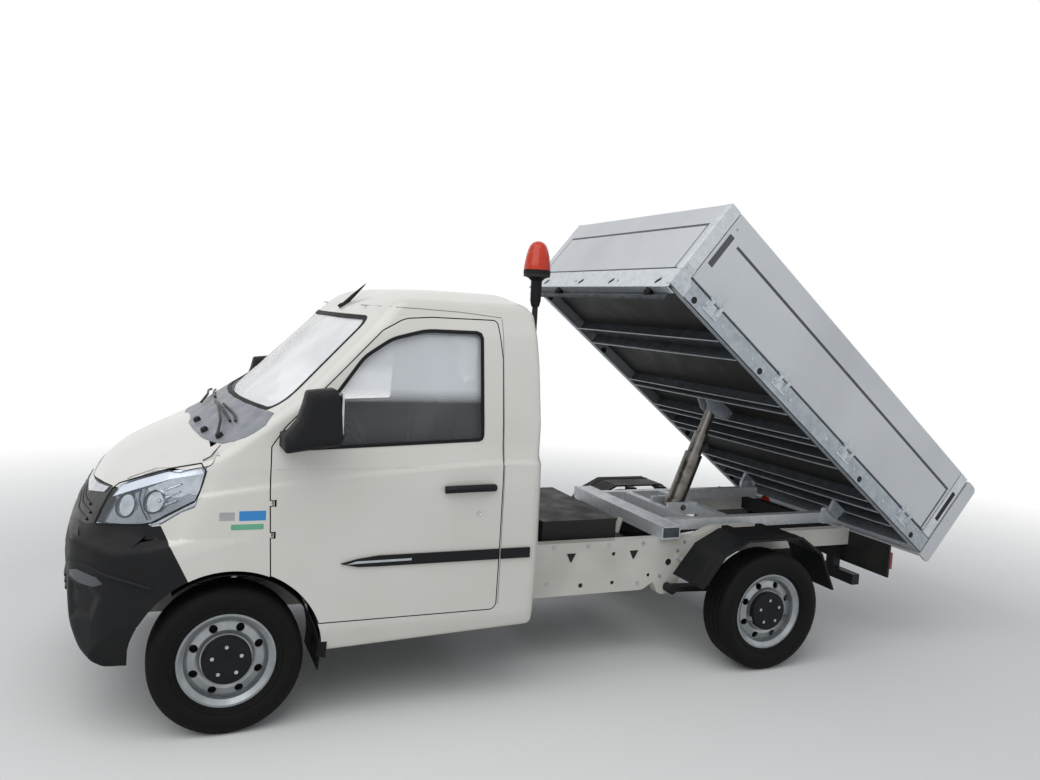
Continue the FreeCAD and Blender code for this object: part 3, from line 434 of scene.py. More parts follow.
def weldedMesh(node):
    # a CAD node's mesh is loose triangles: its corners are joined here
    mesh = bpy.data.objects[node].data
    points = np.zeros(len(mesh.vertices) * 3)
    mesh.vertices.foreach_get("co", points)
    points = points.reshape(-1, 3)
    mesh.calc_loop_triangles()
    tris = np.zeros(len(mesh.loop_triangles) * 3, np.int64)
    mesh.loop_triangles.foreach_get("vertices", tris)
    first, back = np.unique(np.round(points * skin["weldGrid"]).astype(np.int64), axis=0, return_index=True,
                            return_inverse=True)[1:]
    tris = back.reshape(-1)[tris].reshape(-1, 3)
    whole = (tris[:, 0] != tris[:, 1]) & (tris[:, 1] != tris[:, 2]) & (tris[:, 0] != tris[:, 2])
    return points[first] - fromAxle, tris[whole]


def splitEdges(points, tris, chosen):
    # halves the chosen edges of every triangle and keeps the mesh closed
    edges = np.sort(np.concatenate([tris[:, [0, 1]], tris[:, [1, 2]], tris[:, [2, 0]]]), axis=1)
    unique, back = np.unique(edges, axis=0, return_inverse=True)
    marked = chosen(unique)
    if not marked.any():
        return points, tris, False
    middle = np.full(len(unique), -1)
    middle[marked] = len(points) + np.arange(marked.sum())
    points = np.concatenate([points, (points[unique[marked, 0]] + points[unique[marked, 1]]) / 2])
    m = middle[back.reshape(3, -1)].T
    number = (m >= 0).sum(1)
    out = [tris[number == 0]]
    for k in range(3):
        a, b, c = tris[:, k], tris[:, (k + 1) % 3], tris[:, (k + 2) % 3]
        ab, bc = m[:, k], m[:, (k + 1) % 3]
        one = (number == 1) & (ab >= 0)
        two = (number == 2) & (ab >= 0) & (bc >= 0)
        for rows, corners in ((one, (a, ab, c)), (one, (ab, b, c)), (two, (ab, b, bc)), (two, (a, ab, bc)),
                              (two, (a, bc, c))):
            out.append(np.stack(corners, 1)[rows])
    a, b, c = tris[number == 3].T
    ab, bc, ca = m[number == 3].T
    out += [np.stack(corner, 1) for corner in ((a, ab, ca), (ab, b, bc), (ca, bc, c), (ab, bc, ca))]
    return points, np.concatenate(out), True


skin = dict(longest=0.07, finest=0.009, band=0.004, bend=math.cos(math.radians(7)), gap=6e-4, splits=9, pulls=3,
            facing=0.6, sharp=30, weldGrid=2e4)


def skinPanel(node, name, body, outer, inner, twin=None, form=bodyForm):
    # a pressed panel: the node's outer skin drawn onto the smooth body form, with its true shading
    points, tris = weldedMesh(node)
    d, g = form(points)

    def chosen(edges):
        a, b = edges[:, 0], edges[:, 1]
        length = np.linalg.norm(points[a] - points[b], axis=1)
        both = onSkin[a] & onSkin[b]
        bent = (g[a] * g[b]).sum(1) < skin["bend"]
        wide = length > 2 * skin["finest"]
        pick = np.where(both & ~bent & wide & (length <= skin["longest"]))[0]
        off = np.zeros(len(edges), bool)
        if len(pick):
            off[pick] = np.abs(form((points[a[pick]] + points[b[pick]]) / 2)[0]) > skin["gap"]
        return both & ((length > skin["longest"]) | ((bent | off) & wide))

    for turn in range(skin["splits"]):
        g = unit(g)
        onSkin = d > -skin["band"]
        known = len(points)
        points, tris, changed = splitEdges(points, tris, chosen)
        if not changed:
            break
        more = form(points[known:])
        d, g = np.concatenate([d, more[0]]), np.concatenate([g, more[1]])
    onSkin = d > -skin["band"]
    picked = np.where(onSkin)[0]
    for turn in range(skin["pulls"]):
        points[picked] -= g[picked] * (d[picked] / (g[picked] ** 2).sum(1))[:, None]
        d[picked], g[picked] = form(points[picked])
    g = unit(g)
    a, b, c = points[tris[:, 0]], points[tris[:, 1]], points[tris[:, 2]]
    normal = np.cross(b - a, c - a)
    normal /= np.maximum(np.linalg.norm(normal, axis=1), 1e-12)[:, None]
    outside = onSkin[tris].all(1) & ((normal * g[tris].mean(1)).sum(1) > skin["facing"])
    makePanel(node, name, body, outer, inner, points, tris, g, outside)
    if twin:
        flip = np.array([-1.0, 1.0, 1.0])
        makePanel(*twin, outer, inner, points * flip, tris[:, ::-1], g * flip, outside)


def makePanel(node, name, body, outer, inner, points, tris, directions, outside):
    mesh = bpy.data.meshes.new(name)
    mesh.from_pydata((points + fromAxle).tolist(), [], tris.tolist())
    mesh.materials.append(finish[outer])
    mesh.materials.append(finish[inner])
    mesh.polygons.foreach_set("material_index", np.where(outside, 0, 1).astype(np.int32))
    mesh.polygons.foreach_set("use_smooth", np.ones(len(tris), bool))
    mesh.set_sharp_from_angle(angle=math.radians(skin["sharp"]))
    normals = np.zeros(len(mesh.loops) * 3, np.float32)
    mesh.corner_normals.foreach_get("vector", normals)
    normals = normals.reshape(-1, 3)
    loops = np.repeat(outside, 3)
    normals[loops] = directions[tris.reshape(-1)][loops]
    mesh.normals_split_custom_set(normals.tolist())
    piece = addPiece(name, mesh, None, body, [node])


panelRows = [
    # CAD node, piece, body, outer finish, inner finish, mirrored twin
    ("hood", "hoodPanel", "hood", "acrylicPaint", "acrylicPaint"),
    ("fender_left", "fenderPanelLeft", "chassis", "acrylicPaint", "chassisEnamel",
     ("fender_right", "fenderPanelRight", "chassis")),
    ("door_left", "doorPanelLeft", "door_left", "acrylicPaint", "cabinPlastic",
     ("door_right", "doorPanelRight", "door_right")),
    ("cab_shell", "cabShellPanel", "chassis", "acrylicPaint", "trimFelt"),
    ("cab_roof", "cabRoofPanel", "chassis", "acrylicPaint", "trimFelt"),
    ("bumper", "bumperSkin", "chassis", "grainedPolypropylene", "grainedPolypropylene", None, bumperForm),
    ("grille", "grilleSkin", "chassis", "glossAbs", "glossAbs"),
    ("headlamps", "headlampBody", "chassis", "polycarbonateLens", "vapourPlate"),
]
for row in panelRows:
    skinPanel(*row)
print("body skin done")


def insideLine(points, line):
    return lineField(points[:, 0], points[:, 1], line)[0] < 0


def fillOutline(line, holes=(), spacing=None):
    # triangles that fill an outline around its holes, over an even grid of points when spacing is given
    loops = [np.array(loop, float) for loop in (line, *holes)]
    verts, edges = [], []
    for loop in loops:
        start, count = len(verts), len(loop)
        verts += [tuple(p) for p in loop]
        edges += [(start + i, start + (i + 1) % count) for i in range(count)]
    if spacing:
        low, high = loops[0].min(0), loops[0].max(0)
        across, along = (np.arange(low[k] + spacing / 2, high[k], spacing) for k in (0, 1))
        grid = np.array([(a, b) for a in across for b in along]).reshape(-1, 2)
        if len(grid):
            rim = spacing * 0.35
            keep = lineField(grid[:, 0], grid[:, 1], loops[0])[0] < -rim
            for hole in loops[1:]:
                keep &= lineField(grid[:, 0], grid[:, 1], hole)[0] > rim
            verts += [tuple(p) for p in grid[keep]]
    result = delaunay_2d_cdt([Vector(v) for v in verts], edges, [], 0, 1e-6)
    points = np.array([tuple(v) for v in result[0]])
    tris = np.array([f for f in result[2] if len(f) == 3])
    centre = points[tris].mean(1)
    keep = insideLine(centre, loops[0])
    for hole in loops[1:]:
        keep &= ~insideLine(centre, hole)
    return points, tris[keep]


def shadeMesh(mesh, sharp=35.0):
    mesh.polygons.foreach_set("use_smooth", np.ones(len(mesh.polygons), bool))
    mesh.set_sharp_from_angle(angle=math.radians(sharp))
    return mesh


def weldMesh(name, points, faces, gap, sharp, filled=False):
    mesh = bpy.data.meshes.new(name)
    mesh.from_pydata(points.tolist(), [], faces)
    work = bmesh.new()
    work.from_mesh(mesh)
    bmesh.ops.remove_doubles(work, verts=work.verts, dist=gap)
    if filled:
        bmesh.ops.holes_fill(work, edges=[e for e in work.edges if e.is_boundary], sides=0)
    bmesh.ops.recalc_face_normals(work, faces=work.faces)
    work.to_mesh(mesh)
    work.free()
    return shadeMesh(mesh, sharp)


def closedShell(name, front, back, tris, sharp=35.0):
    # two matching sheets joined along their rims
    count = len(front)
    tris = [tuple(int(i) for i in t) for t in tris]
    edges = {(t[i], t[(i + 1) % 3]): None for t in tris for i in range(3)}
    faces = tris + [tuple(i + count for i in reversed(t)) for t in tris]
    faces += [(b, a, a + count, b + count) for a, b in edges if (b, a) not in edges]
    return weldMesh(name, np.concatenate([front, back]), faces, gap=1e-6, sharp=sharp)


def plateMesh(line, place, near, far, holes=(), name="plate"):
    # a flat outline given thickness; place(u, v, w) puts its points in the truck
    points, tris = fillOutline(line, holes)
    u, v = points[:, 0], points[:, 1]
    return closedShell(name, place(u, v, near + 0 * u), place(u, v, far + 0 * u), tris)


def roundedMetres(line, radius, step=25.0):
    return roundedLine([(u * 1000, v * 1000, radius * 1000) for u, v in line], step)


def rectangle(u0, u1, v0, v1, radius=0.0):
    corners = [(u0, v0), (u1, v0), (u1, v1), (u0, v1)]
    return roundedMetres(corners, radius, radius * 500) if radius else np.array(corners)


def circle(u, v, radius, sides=20):
    turn = np.linspace(0, 2 * math.pi, sides, endpoint=False)
    return np.stack([u + radius * np.cos(turn), v + radius * np.sin(turn)], 1)


def slot(u, v, length, width, angle=0.0):
    # round-ended slot, its length along the angle
    half = (length - width) / 2
    line = []
    for end in (0, 1):
        turn = np.linspace(-math.pi / 2, math.pi / 2, 7) + end * math.pi
        line.append(np.stack([(half, -half)[end] + width / 2 * np.cos(turn), width / 2 * np.sin(turn)], 1))
    line = np.concatenate(line)
    c, s = math.cos(angle), math.sin(angle)
    return np.stack([u + line[:, 0] * c - line[:, 1] * s, v + line[:, 0] * s + line[:, 1] * c], 1)


def joined(meshes, name="joined"):
    work = bmesh.new()
    for mesh in meshes:
        work.from_mesh(mesh)
        bpy.data.meshes.remove(mesh)
    mesh = bpy.data.meshes.new(name)
    work.to_mesh(mesh)
    work.free()
    return shadeMesh(mesh)


def mirroredMesh(mesh):
    twin = mesh.copy()
    twin.transform(Matrix.Scale(-1, 4, (1, 0, 0)))
    twin.flip_normals()
    return twin


def bothMesh(*meshes):
    return [one for mesh in meshes for one in (mesh, mirroredMesh(mesh))]


def addPair(name, mesh, finishName, body="chassis", node=None):
    # a left piece and its mirror; a body or a node that ends in _ has one of its own on each side
    pair = []
    for side, half in (("Left", mesh), ("Right", mirroredMesh(mesh))):
        sided = [text and (text + side.lower() if text.endswith("_") else text) for text in (body, node)]
        pair.append(addPiece(name + side, half, finishName, sided[0], [sided[1]] if node else ()))
    return pair


def flatLine(rows):
    # an outline given in 3-D is seen from the nose's corner
    p = np.array(rows, float)
    return np.stack([p[:, 0] * cornerAim[1] + p[:, 1] * cornerAim[0], p[:, 2]], 1) if p.shape[1] == 3 else p


# first and last depth searched along each view; "d" looks at the left front corner
views = {"x": (0.90, 0.45), "y": (-0.75, 0.95), "z": (1.95, 0.60), "d": (1.35, 0.45)}
search = dict(steps=36, halvings=12)


def onForm(u, v, axis):
    # where the outside of the body is, seen along the axis
    def spot(depth):
        if axis == "d":
            return np.stack([u * cornerAim[1] + depth * cornerAim[0], u * cornerAim[0] - depth * cornerAim[1], v], 1)
        return np.stack({"x": [depth, u, v], "y": [u, depth, v], "z": [u, v, depth]}[axis], 1)

    steps = np.linspace(*views[axis], search["steps"])
    outside = np.full(len(u), steps[0])
    inner = np.full(len(u), steps[-1])
    found = np.zeros(len(u), bool)
    for before, step in zip(steps, steps[1:]):
        now = (bodyForm(spot(np.full(len(u), step)))[0] < 0) & ~found
        inner[now] = step
        outside[now] = before
        found |= now
    for turn in range(search["halvings"]):
        middle = (outside + inner) / 2
        under = bodyForm(spot(middle))[0] < 0
        inner, outside = np.where(under, middle, inner), np.where(under, outside, middle)
    points = spot((outside + inner) / 2)
    return points, unit(bodyForm(points)[1])


def denser(line, step):
    # more points along an outline, so that trim follows the form between its corners
    out = []
    for a, b in zip(line, np.roll(line, -1, axis=0)):
        parts = max(1, int(math.ceil(np.linalg.norm(b - a) / step)))
        out += [a + (b - a) * k / parts for k in range(parts)]
    return np.array(out)


def skinPatch(line, axis, proud, thick, step=0.03, holes=(), spacing=0.03):
    # a trim piece that lies on the body form, standing proud of it
    line, *holes = (denser(flatLine(loop), step) for loop in (line, *holes))
    flat, tris = fillOutline(line, holes, spacing)
    points, g = onForm(flat[:, 0], flat[:, 1], axis)
    points = points + fromAxle
    return closedShell("patch", points + g * proud, points + g * (proud - thick), tris)


def latheMesh(profile, centre, aim=(1, 0, 0), sides=48):
    # profile of (along the aim, radius) turned about it; centre counts y from the axle
    ring = np.linspace(0, 2 * math.pi, sides, endpoint=False)
    turned = np.array(Vector(aim).to_track_quat("Z", "Y").to_matrix())
    rows = [(r * math.cos(t), r * math.sin(t), along) for along, r in profile for t in ring]
    faces = [(k + i, k + (i + 1) % sides, k + sides + (i + 1) % sides, k + sides + i)
             for k in range(0, (len(profile) - 1) * sides, sides) for i in range(sides)]
    points = np.array(rows) @ turned.T + np.array(centre) + fromAxle
    return weldMesh("lathe", points, faces, gap=1e-5, sharp=30, filled=True)


def newTree(name, sockets):
    tree = bpy.data.node_groups.new(name, "GeometryNodeTree")
    tree.interface.new_socket("Geometry", in_out="INPUT", socket_type="NodeSocketGeometry")
    for label, value in sockets.items():
        kind = "NodeSocketInt" if isinstance(value, int) else "NodeSocketFloat"
        tree.interface.new_socket(label, in_out="INPUT", socket_type=kind).default_value = value
    tree.interface.new_socket("Finish", in_out="INPUT", socket_type="NodeSocketMaterial")
    tree.interface.new_socket("Geometry", in_out="OUTPUT", socket_type="NodeSocketGeometry")
    return tree, addNode(tree, "NodeGroupInput").outputs


def endTree(tree, given, geometry):
    real = addNode(tree, "GeometryNodeRealizeInstances", {"Geometry": geometry})
    painted = addNode(tree, "GeometryNodeSetMaterial", {"Geometry": real.outputs[0], "Material": given["Finish"]})
    addNode(tree, "NodeGroupOutput", {0: painted.outputs[0]})
    return tree


def makeTubeTree():
    # a round bead drawn along a path
    tree, given = newTree("beadAlongPath", {"Radius": 0.005, "Sides": 8})
    curve = addNode(tree, "GeometryNodeMeshToCurve", {"Mesh": given["Geometry"]})
    ring = addNode(tree, "GeometryNodeCurvePrimitiveCircle", {"Resolution": given["Sides"],
                                                              "Radius": given["Radius"]})
    tube = addNode(tree, "GeometryNodeCurveToMesh", {"Curve": curve.outputs[0], "Profile Curve": ring.outputs["Curve"],
                                                     "Fill Caps": True})
    smooth = addNode(tree, "GeometryNodeSetShadeSmooth", {"Geometry": tube.outputs[0]})
    return endTree(tree, given, smooth.outputs[0])


boltWasher = dict(wider=1.5, lower=0.45, sides=14)


def makeBoltTree():
    # hexagon head on a washer, set on each point and turned along its aim
    tree, given = newTree("boltsOnPoints", {"Radius": 0.008, "Height": 0.006, "Sides": 6})
    head = addNode(tree, "GeometryNodeMeshCylinder", {"Vertices": given["Sides"], "Radius": given["Radius"],
                                                      "Depth": given["Height"]})
    wide = addNode(tree, "ShaderNodeMath", {0: given["Radius"], 1: boltWasher["wider"]}, operation="MULTIPLY")
    thin = addNode(tree, "ShaderNodeMath", {0: given["Height"], 1: boltWasher["lower"]}, operation="MULTIPLY")
    washer = addNode(tree, "GeometryNodeMeshCylinder", {"Vertices": boltWasher["sides"], "Radius": wide.outputs[0],
                                                        "Depth": thin.outputs[0]})
    both = addNode(tree, "GeometryNodeJoinGeometry", {0: head.outputs["Mesh"]})
    feed(tree, both, {0: washer.outputs["Mesh"]})
    aim = addNode(tree, "GeometryNodeInputNamedAttribute", {"Name": "aim"}, data_type="FLOAT_VECTOR")
    turn = addNode(tree, "FunctionNodeAlignRotationToVector", {"Vector": aim.outputs["Attribute"]}, axis="Z")
    dots = addNode(tree, "GeometryNodeMeshToPoints", {"Mesh": given["Geometry"]})
    placed = addNode(tree, "GeometryNodeInstanceOnPoints", {"Points": dots.outputs[0], "Instance": both.outputs[0],
                                                            "Rotation": turn.outputs[0]})
    return endTree(tree, given, placed.outputs[0])


tubeTree = makeTubeTree()
boltTree = makeBoltTree()


def runTree(mesh, tree, finishName, sizes):
    # the tree's result as a plain mesh; its modifier goes with the carrier
    carrier = bpy.data.objects.new("carrier", mesh)
    bpy.context.scene.collection.objects.link(carrier)
    modifier = carrier.modifiers.new("build", "NODES")
    modifier.node_group = tree
    values = {"Finish": finish[finishName], **sizes}
    for item in tree.interface.items_tree:
        if item.in_out == "INPUT" and item.name in values:
            modifier[item.identifier] = values[item.name]
    ready = carrier.evaluated_get(bpy.context.evaluated_depsgraph_get())
    made = bpy.data.meshes.new_from_object(ready)
    bpy.data.objects.remove(carrier)
    return made


def tubeMesh(points, radius, finishName, closed=False, sides=8):
    count = len(points)
    edges = [(i, i + 1) for i in range(count - 1)] + ([(count - 1, 0)] if closed else [])
    path = bpy.data.meshes.new("path")
    path.from_pydata([tuple(float(c) for c in p) for p in points], edges, [])
    return runTree(path, tubeTree, finishName, {"Radius": radius, "Sides": sides})


def boltMesh(rows, radius, height, finishName):
    # rows of (point, direction)
    dots = bpy.data.meshes.new("dots")
    dots.from_pydata([tuple(float(c) for c in point) for point, aim in rows], [], [])
    aims = np.array([aim for point, aim in rows], np.float32)
    dots.attributes.new("aim", "FLOAT_VECTOR", "POINT").data.foreach_set("vector", aims.ravel())
    return runTree(dots, boltTree, finishName, {"Radius": radius, "Height": height, "Sides": 6})


def formTube(rows, proud, radius, finishName, axis="d", step=0.02, closed=False, sides=8):
    # a bead laid on the body form
    flat = flatLine(rows)
    line = denser(flat, step)
    if not closed:
        line = line[:np.linalg.norm(line - flat[-1], axis=1).argmin() + 1]
    points, g = onForm(line[:, 0], line[:, 1], axis)
    return tubeMesh(points + g * proud + fromAxle, radius, finishName, closed, sides)


def liftedTube(rows, axis, radius, finishName, sides=8):
    # a bead along rows of (u, v, height above the form)
    rows = np.array(rows, float)
    finer = 8
    parts = np.linspace(0, len(rows) - 1, finer * (len(rows) - 1) + 1)
    u, v, h = [np.interp(parts, range(len(rows)), rows[:, k]) for k in range(3)]
    points, g = onForm(u, v, axis)
    return tubeMesh(points + g * h[:, None] + fromAxle, radius, finishName, sides=sides)


def formSpot(u, v, axis):
    point, g = onForm(np.array([u]), np.array([v]), axis)
    return point[0], g[0]


def truckPlace(order):
    # puts outline points (u, v) and depth w on the truck's axes, for instance "yzx"
    def place(u, v, w):
        given = dict(zip(order, (u, v, w)))
        return np.stack([given["x"], given["y"] + axleY, given["z"]], 1)
    return place


sidePlace, frontPlace = truckPlace("yzx"), truckPlace("xzy")
# headlamps: clear cover, plated bezel with two bowls, bright brow and black seal
lamp = dict(
    line=[(0.597, -0.497, 0.852), (0.591, -0.483, 0.889), (0.565, -0.434, 0.983), (0.577, -0.409, 1.007),
          (0.652, -0.323, 1.048), (0.710, -0.223, 1.087), (0.768, -0.111, 1.116), (0.789, -0.093, 1.087),
          (0.798, -0.132, 0.974), (0.786, -0.182, 0.946), (0.759, -0.290, 0.883), (0.747, -0.320, 0.876)],
    brow=[(0.575, -0.428, 0.990), (0.652, -0.323, 1.040), (0.710, -0.223, 1.079), (0.768, -0.111, 1.108),
          (0.783, -0.100, 1.078), (0.730, -0.215, 1.052), (0.670, -0.325, 1.008), (0.600, -0.430, 0.962)],
    divider=[(0.698, -0.332, 1.006), (0.706, -0.338, 0.967), (0.730, -0.325, 0.928), (0.750, -0.305, 0.893)],
    slats=[[(0.745, -0.247, 1.007), (0.764, -0.188, 1.033)], [(0.752, -0.250, 0.978), (0.766, -0.192, 1.004)],
           [(0.759, -0.248, 0.950), (0.770, -0.200, 0.972)]],
    bowls=[((0.655, -0.385, 0.940), 0.046), ((0.722, -0.275, 0.962), 0.043)], bowlAim=(0.55, -0.83, 0.0),
    # along the bowl's aim, and the share of its radius with a fixed part added
    cup=[(-0.040, 0, 0.010), (-0.034, 0.55, 0), (-0.018, 0.86, 0), (0.0, 1, 0), (0.001, 1.05, 0),
         (-0.004, 1.05, 0), (-0.022, 0.90, 0), (-0.040, 0.58, 0), (-0.046, 0, 0.010)],
    bulb=[(-0.040, 0.012), (-0.012, 0.012), (-0.006, 0.009), (-0.003, 0.0001)],
    inset=0.020, inner=0.97, hole=0.93, cupBack=0.004, depth=-0.006, slatRadius=0.0045, dividerRadius=0.003,
    rimDepth=0.017, rimRadius=0.0035, rimSides=28, sealRadius=0.0032,
)


def makeLamps():
    corner = flatLine(lamp["line"])
    inner = corner * lamp["inner"] + corner.mean(0) * (1 - lamp["inner"])
    aim = Vector(lamp["bowlAim"]).normalized()
    holes, cups = [], []
    divider = [formTube(lamp["divider"], lamp["depth"], lamp["dividerRadius"], "glossAbs")]
    for centre, r in lamp["bowls"]:
        at = flatLine([centre])[0]
        holes.append(circle(*at, r * lamp["hole"], lamp["rimSides"]))
        base = Vector(formSpot(*at, "d")[0]) - aim * (lamp["inset"] + lamp["cupBack"])
        cups.append(latheMesh([(along, r * share + more) for along, share, more in lamp["cup"]], base, aim, sides=32))
        cups.append(latheMesh(lamp["bulb"], base, aim, sides=18))
        spots, g = onForm(*circle(*at, r, lamp["rimSides"]).T, "d")
        divider.append(tubeMesh(spots - g * lamp["rimDepth"] + fromAxle, lamp["rimRadius"], "glossAbs", closed=True))
    bezel = skinPatch(inner, "d", proud=-lamp["inset"], thick=0.002, step=0.02, holes=holes)
    addPair("lampBezel", bezel, "bezelSilver")
    addPair("lampBowls", joined(cups), "vapourPlate")
    addPair("lampBrow", skinPatch(lamp["brow"], "d", proud=-0.004, thick=0.003, step=0.02), "browSilver")
    ribs = [formTube(row, lamp["depth"], lamp["slatRadius"], "vapourPlate") for row in lamp["slats"]]
    addPair("lampRibs", joined(ribs), "vapourPlate")
    addPair("lampDivider", joined(divider), "glossAbs")
    addPair("lampSeal", formTube(lamp["line"], 0.0, lamp["sealRadius"], "epdmRubber", closed=True), "epdmRubber")


makeLamps()
print("headlamps done")

# nose trim: garnish under the hood lip, grille bars, black valance behind the gap
nose = dict(
    garnish=[(-0.524, 0.980), (-0.395, 0.966), (0, 0.936), (0.395, 0.966), (0.524, 0.980), (0.512, 0.957),
             (0.280, 0.917), (0, 0.908), (-0.280, 0.917), (-0.512, 0.957)],
    bars=[(0.872, 0.50), (0.845, 0.50), (0.893, 0.44)], barRadius=0.0055,
    valance=[(-0.60, 0.795), (0.60, 0.795), (0.59, 0.865), (-0.59, 0.865)],
    shelf=[(0.200, -0.612, 0.790), (0.300, -0.600, 0.806), (0.394, -0.583, 0.818), (0.506, -0.536, 0.831),
           (0.597, -0.497, 0.854), (0.700, -0.390, 0.868), (0.756, -0.310, 0.879), (0.772, -0.290, 0.868),
           (0.775, -0.368, 0.778), (0.710, -0.460, 0.744), (0.520, -0.575, 0.746), (0.200, -0.620, 0.742)],
    seam=[(0.763, -0.108, 1.126), (0.768, -0.078, 1.143), (0.740, -0.050, 1.170), (0.729, -0.040, 1.180)],
    seamRadius=0.0022,
    browFill=[(0.562, -0.436, 0.982), (0.577, -0.409, 1.010), (0.652, -0.323, 1.051), (0.710, -0.223, 1.090),
              (0.772, -0.108, 1.119), (0.764, -0.104, 1.134), (0.679, -0.222, 1.104), (0.612, -0.323, 1.066),
              (0.550, -0.400, 1.032), (0.535, -0.440, 0.990)],
    cornerFill=[(0.680, -0.100), (0.775, -0.125), (0.790, -0.060), (0.778, -0.010), (0.730, 0.005), (0.675, -0.035)],
    insert=[(0.608, -0.583, 0.675), (0.658, -0.555, 0.688), (0.745, -0.483, 0.677), (0.763, -0.458, 0.653),
            (0.736, -0.493, 0.637), (0.672, -0.544, 0.637), (0.609, -0.583, 0.653)],
    intake=[(-0.400, 0.520), (0.400, 0.520), (0.430, 0.610), (-0.430, 0.610)], intakeCorner=0.018,
    intakeBars=[0.538, 0.565, 0.592], intakeHalf=0.405, intakeRadius=0.006,
    plate=[(-0.260, 0.690), (0.260, 0.690), (0.260, 0.765), (-0.260, 0.765)], plateCorner=0.010,
    ridge=[(0.560, -0.598, 0.712), (0.657, -0.556, 0.716), (0.712, -0.514, 0.712), (0.771, -0.443, 0.684),
           (0.796, -0.365, 0.662), (0.813, -0.286, 0.634)], ridgeRadius=0.010,
)


def makeNoseTrim():
    def bars(rows, proud, radius):
        return [formTube([(-half, z), (half, z)], proud, radius, "glossAbs", "y", step=0.04) for z, half in rows]

    addPiece("grilleGarnish", skinPatch(nose["garnish"], "y", proud=0.004, thick=0.008), "satinChrome")
    addPiece("grilleBars", joined(bars(nose["bars"], 0.001, nose["barRadius"])), "glossAbs")
    addPiece("grilleValance", skinPatch(nose["valance"], "y", proud=-0.012, thick=0.004), "epdmRubber")
    addPair("bumperShelf", skinPatch(nose["shelf"], "d", proud=0.0005, thick=0.005, step=0.02), "grainedPolypropylene")
    fills = [skinPatch(nose["browFill"], "d", proud=-0.0015, thick=0.004, step=0.02),
             skinPatch(nose["cornerFill"], "z", proud=-0.002, thick=0.004, step=0.02)]
    addPair("fenderLip", joined(fills), "acrylicPaint")
    addPair("hoodSeam", formTube(nose["seam"], 0.0004, nose["seamRadius"], "epdmRubber", sides=6), "epdmRubber")
    # grey satin insert on the black bumper, its grey partly painted reflection
    addPair("bumperInsert", skinPatch(nose["insert"], "d", proud=0.0015, thick=0.004, step=0.02), "greyAbs")
    intake = [skinPatch(roundedMetres(nose["intake"], nose["intakeCorner"]), "y", proud=0.0012, thick=0.003)]
    intake += bars([(z, nose["intakeHalf"]) for z in nose["intakeBars"]], 0.002, nose["intakeRadius"])
    addPiece("bumperIntake", joined(intake), "glossAbs")
    pad = roundedMetres(nose["plate"], nose["plateCorner"])
    addPiece("plateCarrier", skinPatch(pad, "y", proud=0.003, thick=0.005), "greyAbs")
    addPair("bumperRidge", formTube(nose["ridge"], -0.003, nose["ridgeRadius"], "grainedPolypropylene"),
            "grainedPolypropylene")


makeNoseTrim()
print("nose trim done")

# cowl tray and wipers
cowl = dict(
    edge=[(0.0, -0.124), (0.115, -0.127), (0.191, -0.139), (0.358, -0.126), (0.514, -0.101), (0.631, -0.070),
          (0.724, -0.034), (0.766, 0.004), (0.780, 0.045), (0.781, 0.081), (0.776, 0.125)],
    rear=[0.745, 0.600, 0.400, 0.200, 0.0], rearHeight=1.312,
    pivots=[(0.237, -0.102), (0.463, -0.084), (0.640, -0.036)],
    pivot=[(-0.004, 0.016), (0.014, 0.016), (0.022, 0.011), (0.024, 0.0001)],
    arms=[[(0.640, -0.036, 0.020), (0.518, -0.014, 0.026), (0.295, -0.006, 0.030), (0.180, -0.012, 0.026)],
          [(-0.100, -0.060, 0.020), (-0.220, -0.020, 0.026), (-0.440, 0.000, 0.030), (-0.560, 0.020, 0.026)]],
    blades=[[(0.560, 0.012, 0.012), (0.295, 0.000, 0.012), (0.067, -0.010, 0.012)],
            [(0.602, 0.030, 0.012), (0.514, 0.034, 0.012), (0.241, 0.010, 0.012)],
            [(-0.060, -0.006, 0.012), (-0.320, 0.006, 0.012), (-0.600, 0.036, 0.012)]],
    armRadius=0.006, bladeRadius=0.0055,
)


def makeCowl():
    rear = np.array(cowl["rear"])
    foot = onForm(rear, 0 * rear + cowl["rearHeight"], "y")[0]
    half = cowl["edge"] + [(p[0], p[1]) for p in foot]
    line = half + [(-x, y) for x, y in reversed(half[1:-1])]
    addPiece("cowlTray", skinPatch(line, "z", proud=0.0025, thick=0.006, step=0.025), "satinAbs")
    parts = [liftedTube(row, "z", cowl[radius], "blackPowder")
             for rows, radius in (("arms", "armRadius"), ("blades", "bladeRadius")) for row in cowl[rows]]
    parts += [latheMesh(cowl["pivot"], *formSpot(x, y, "z"), sides=20) for x, y in cowl["pivots"]]
    addPiece("wipers", joined(parts), "blackPowder")


makeCowl()
print("cowl and wipers done")

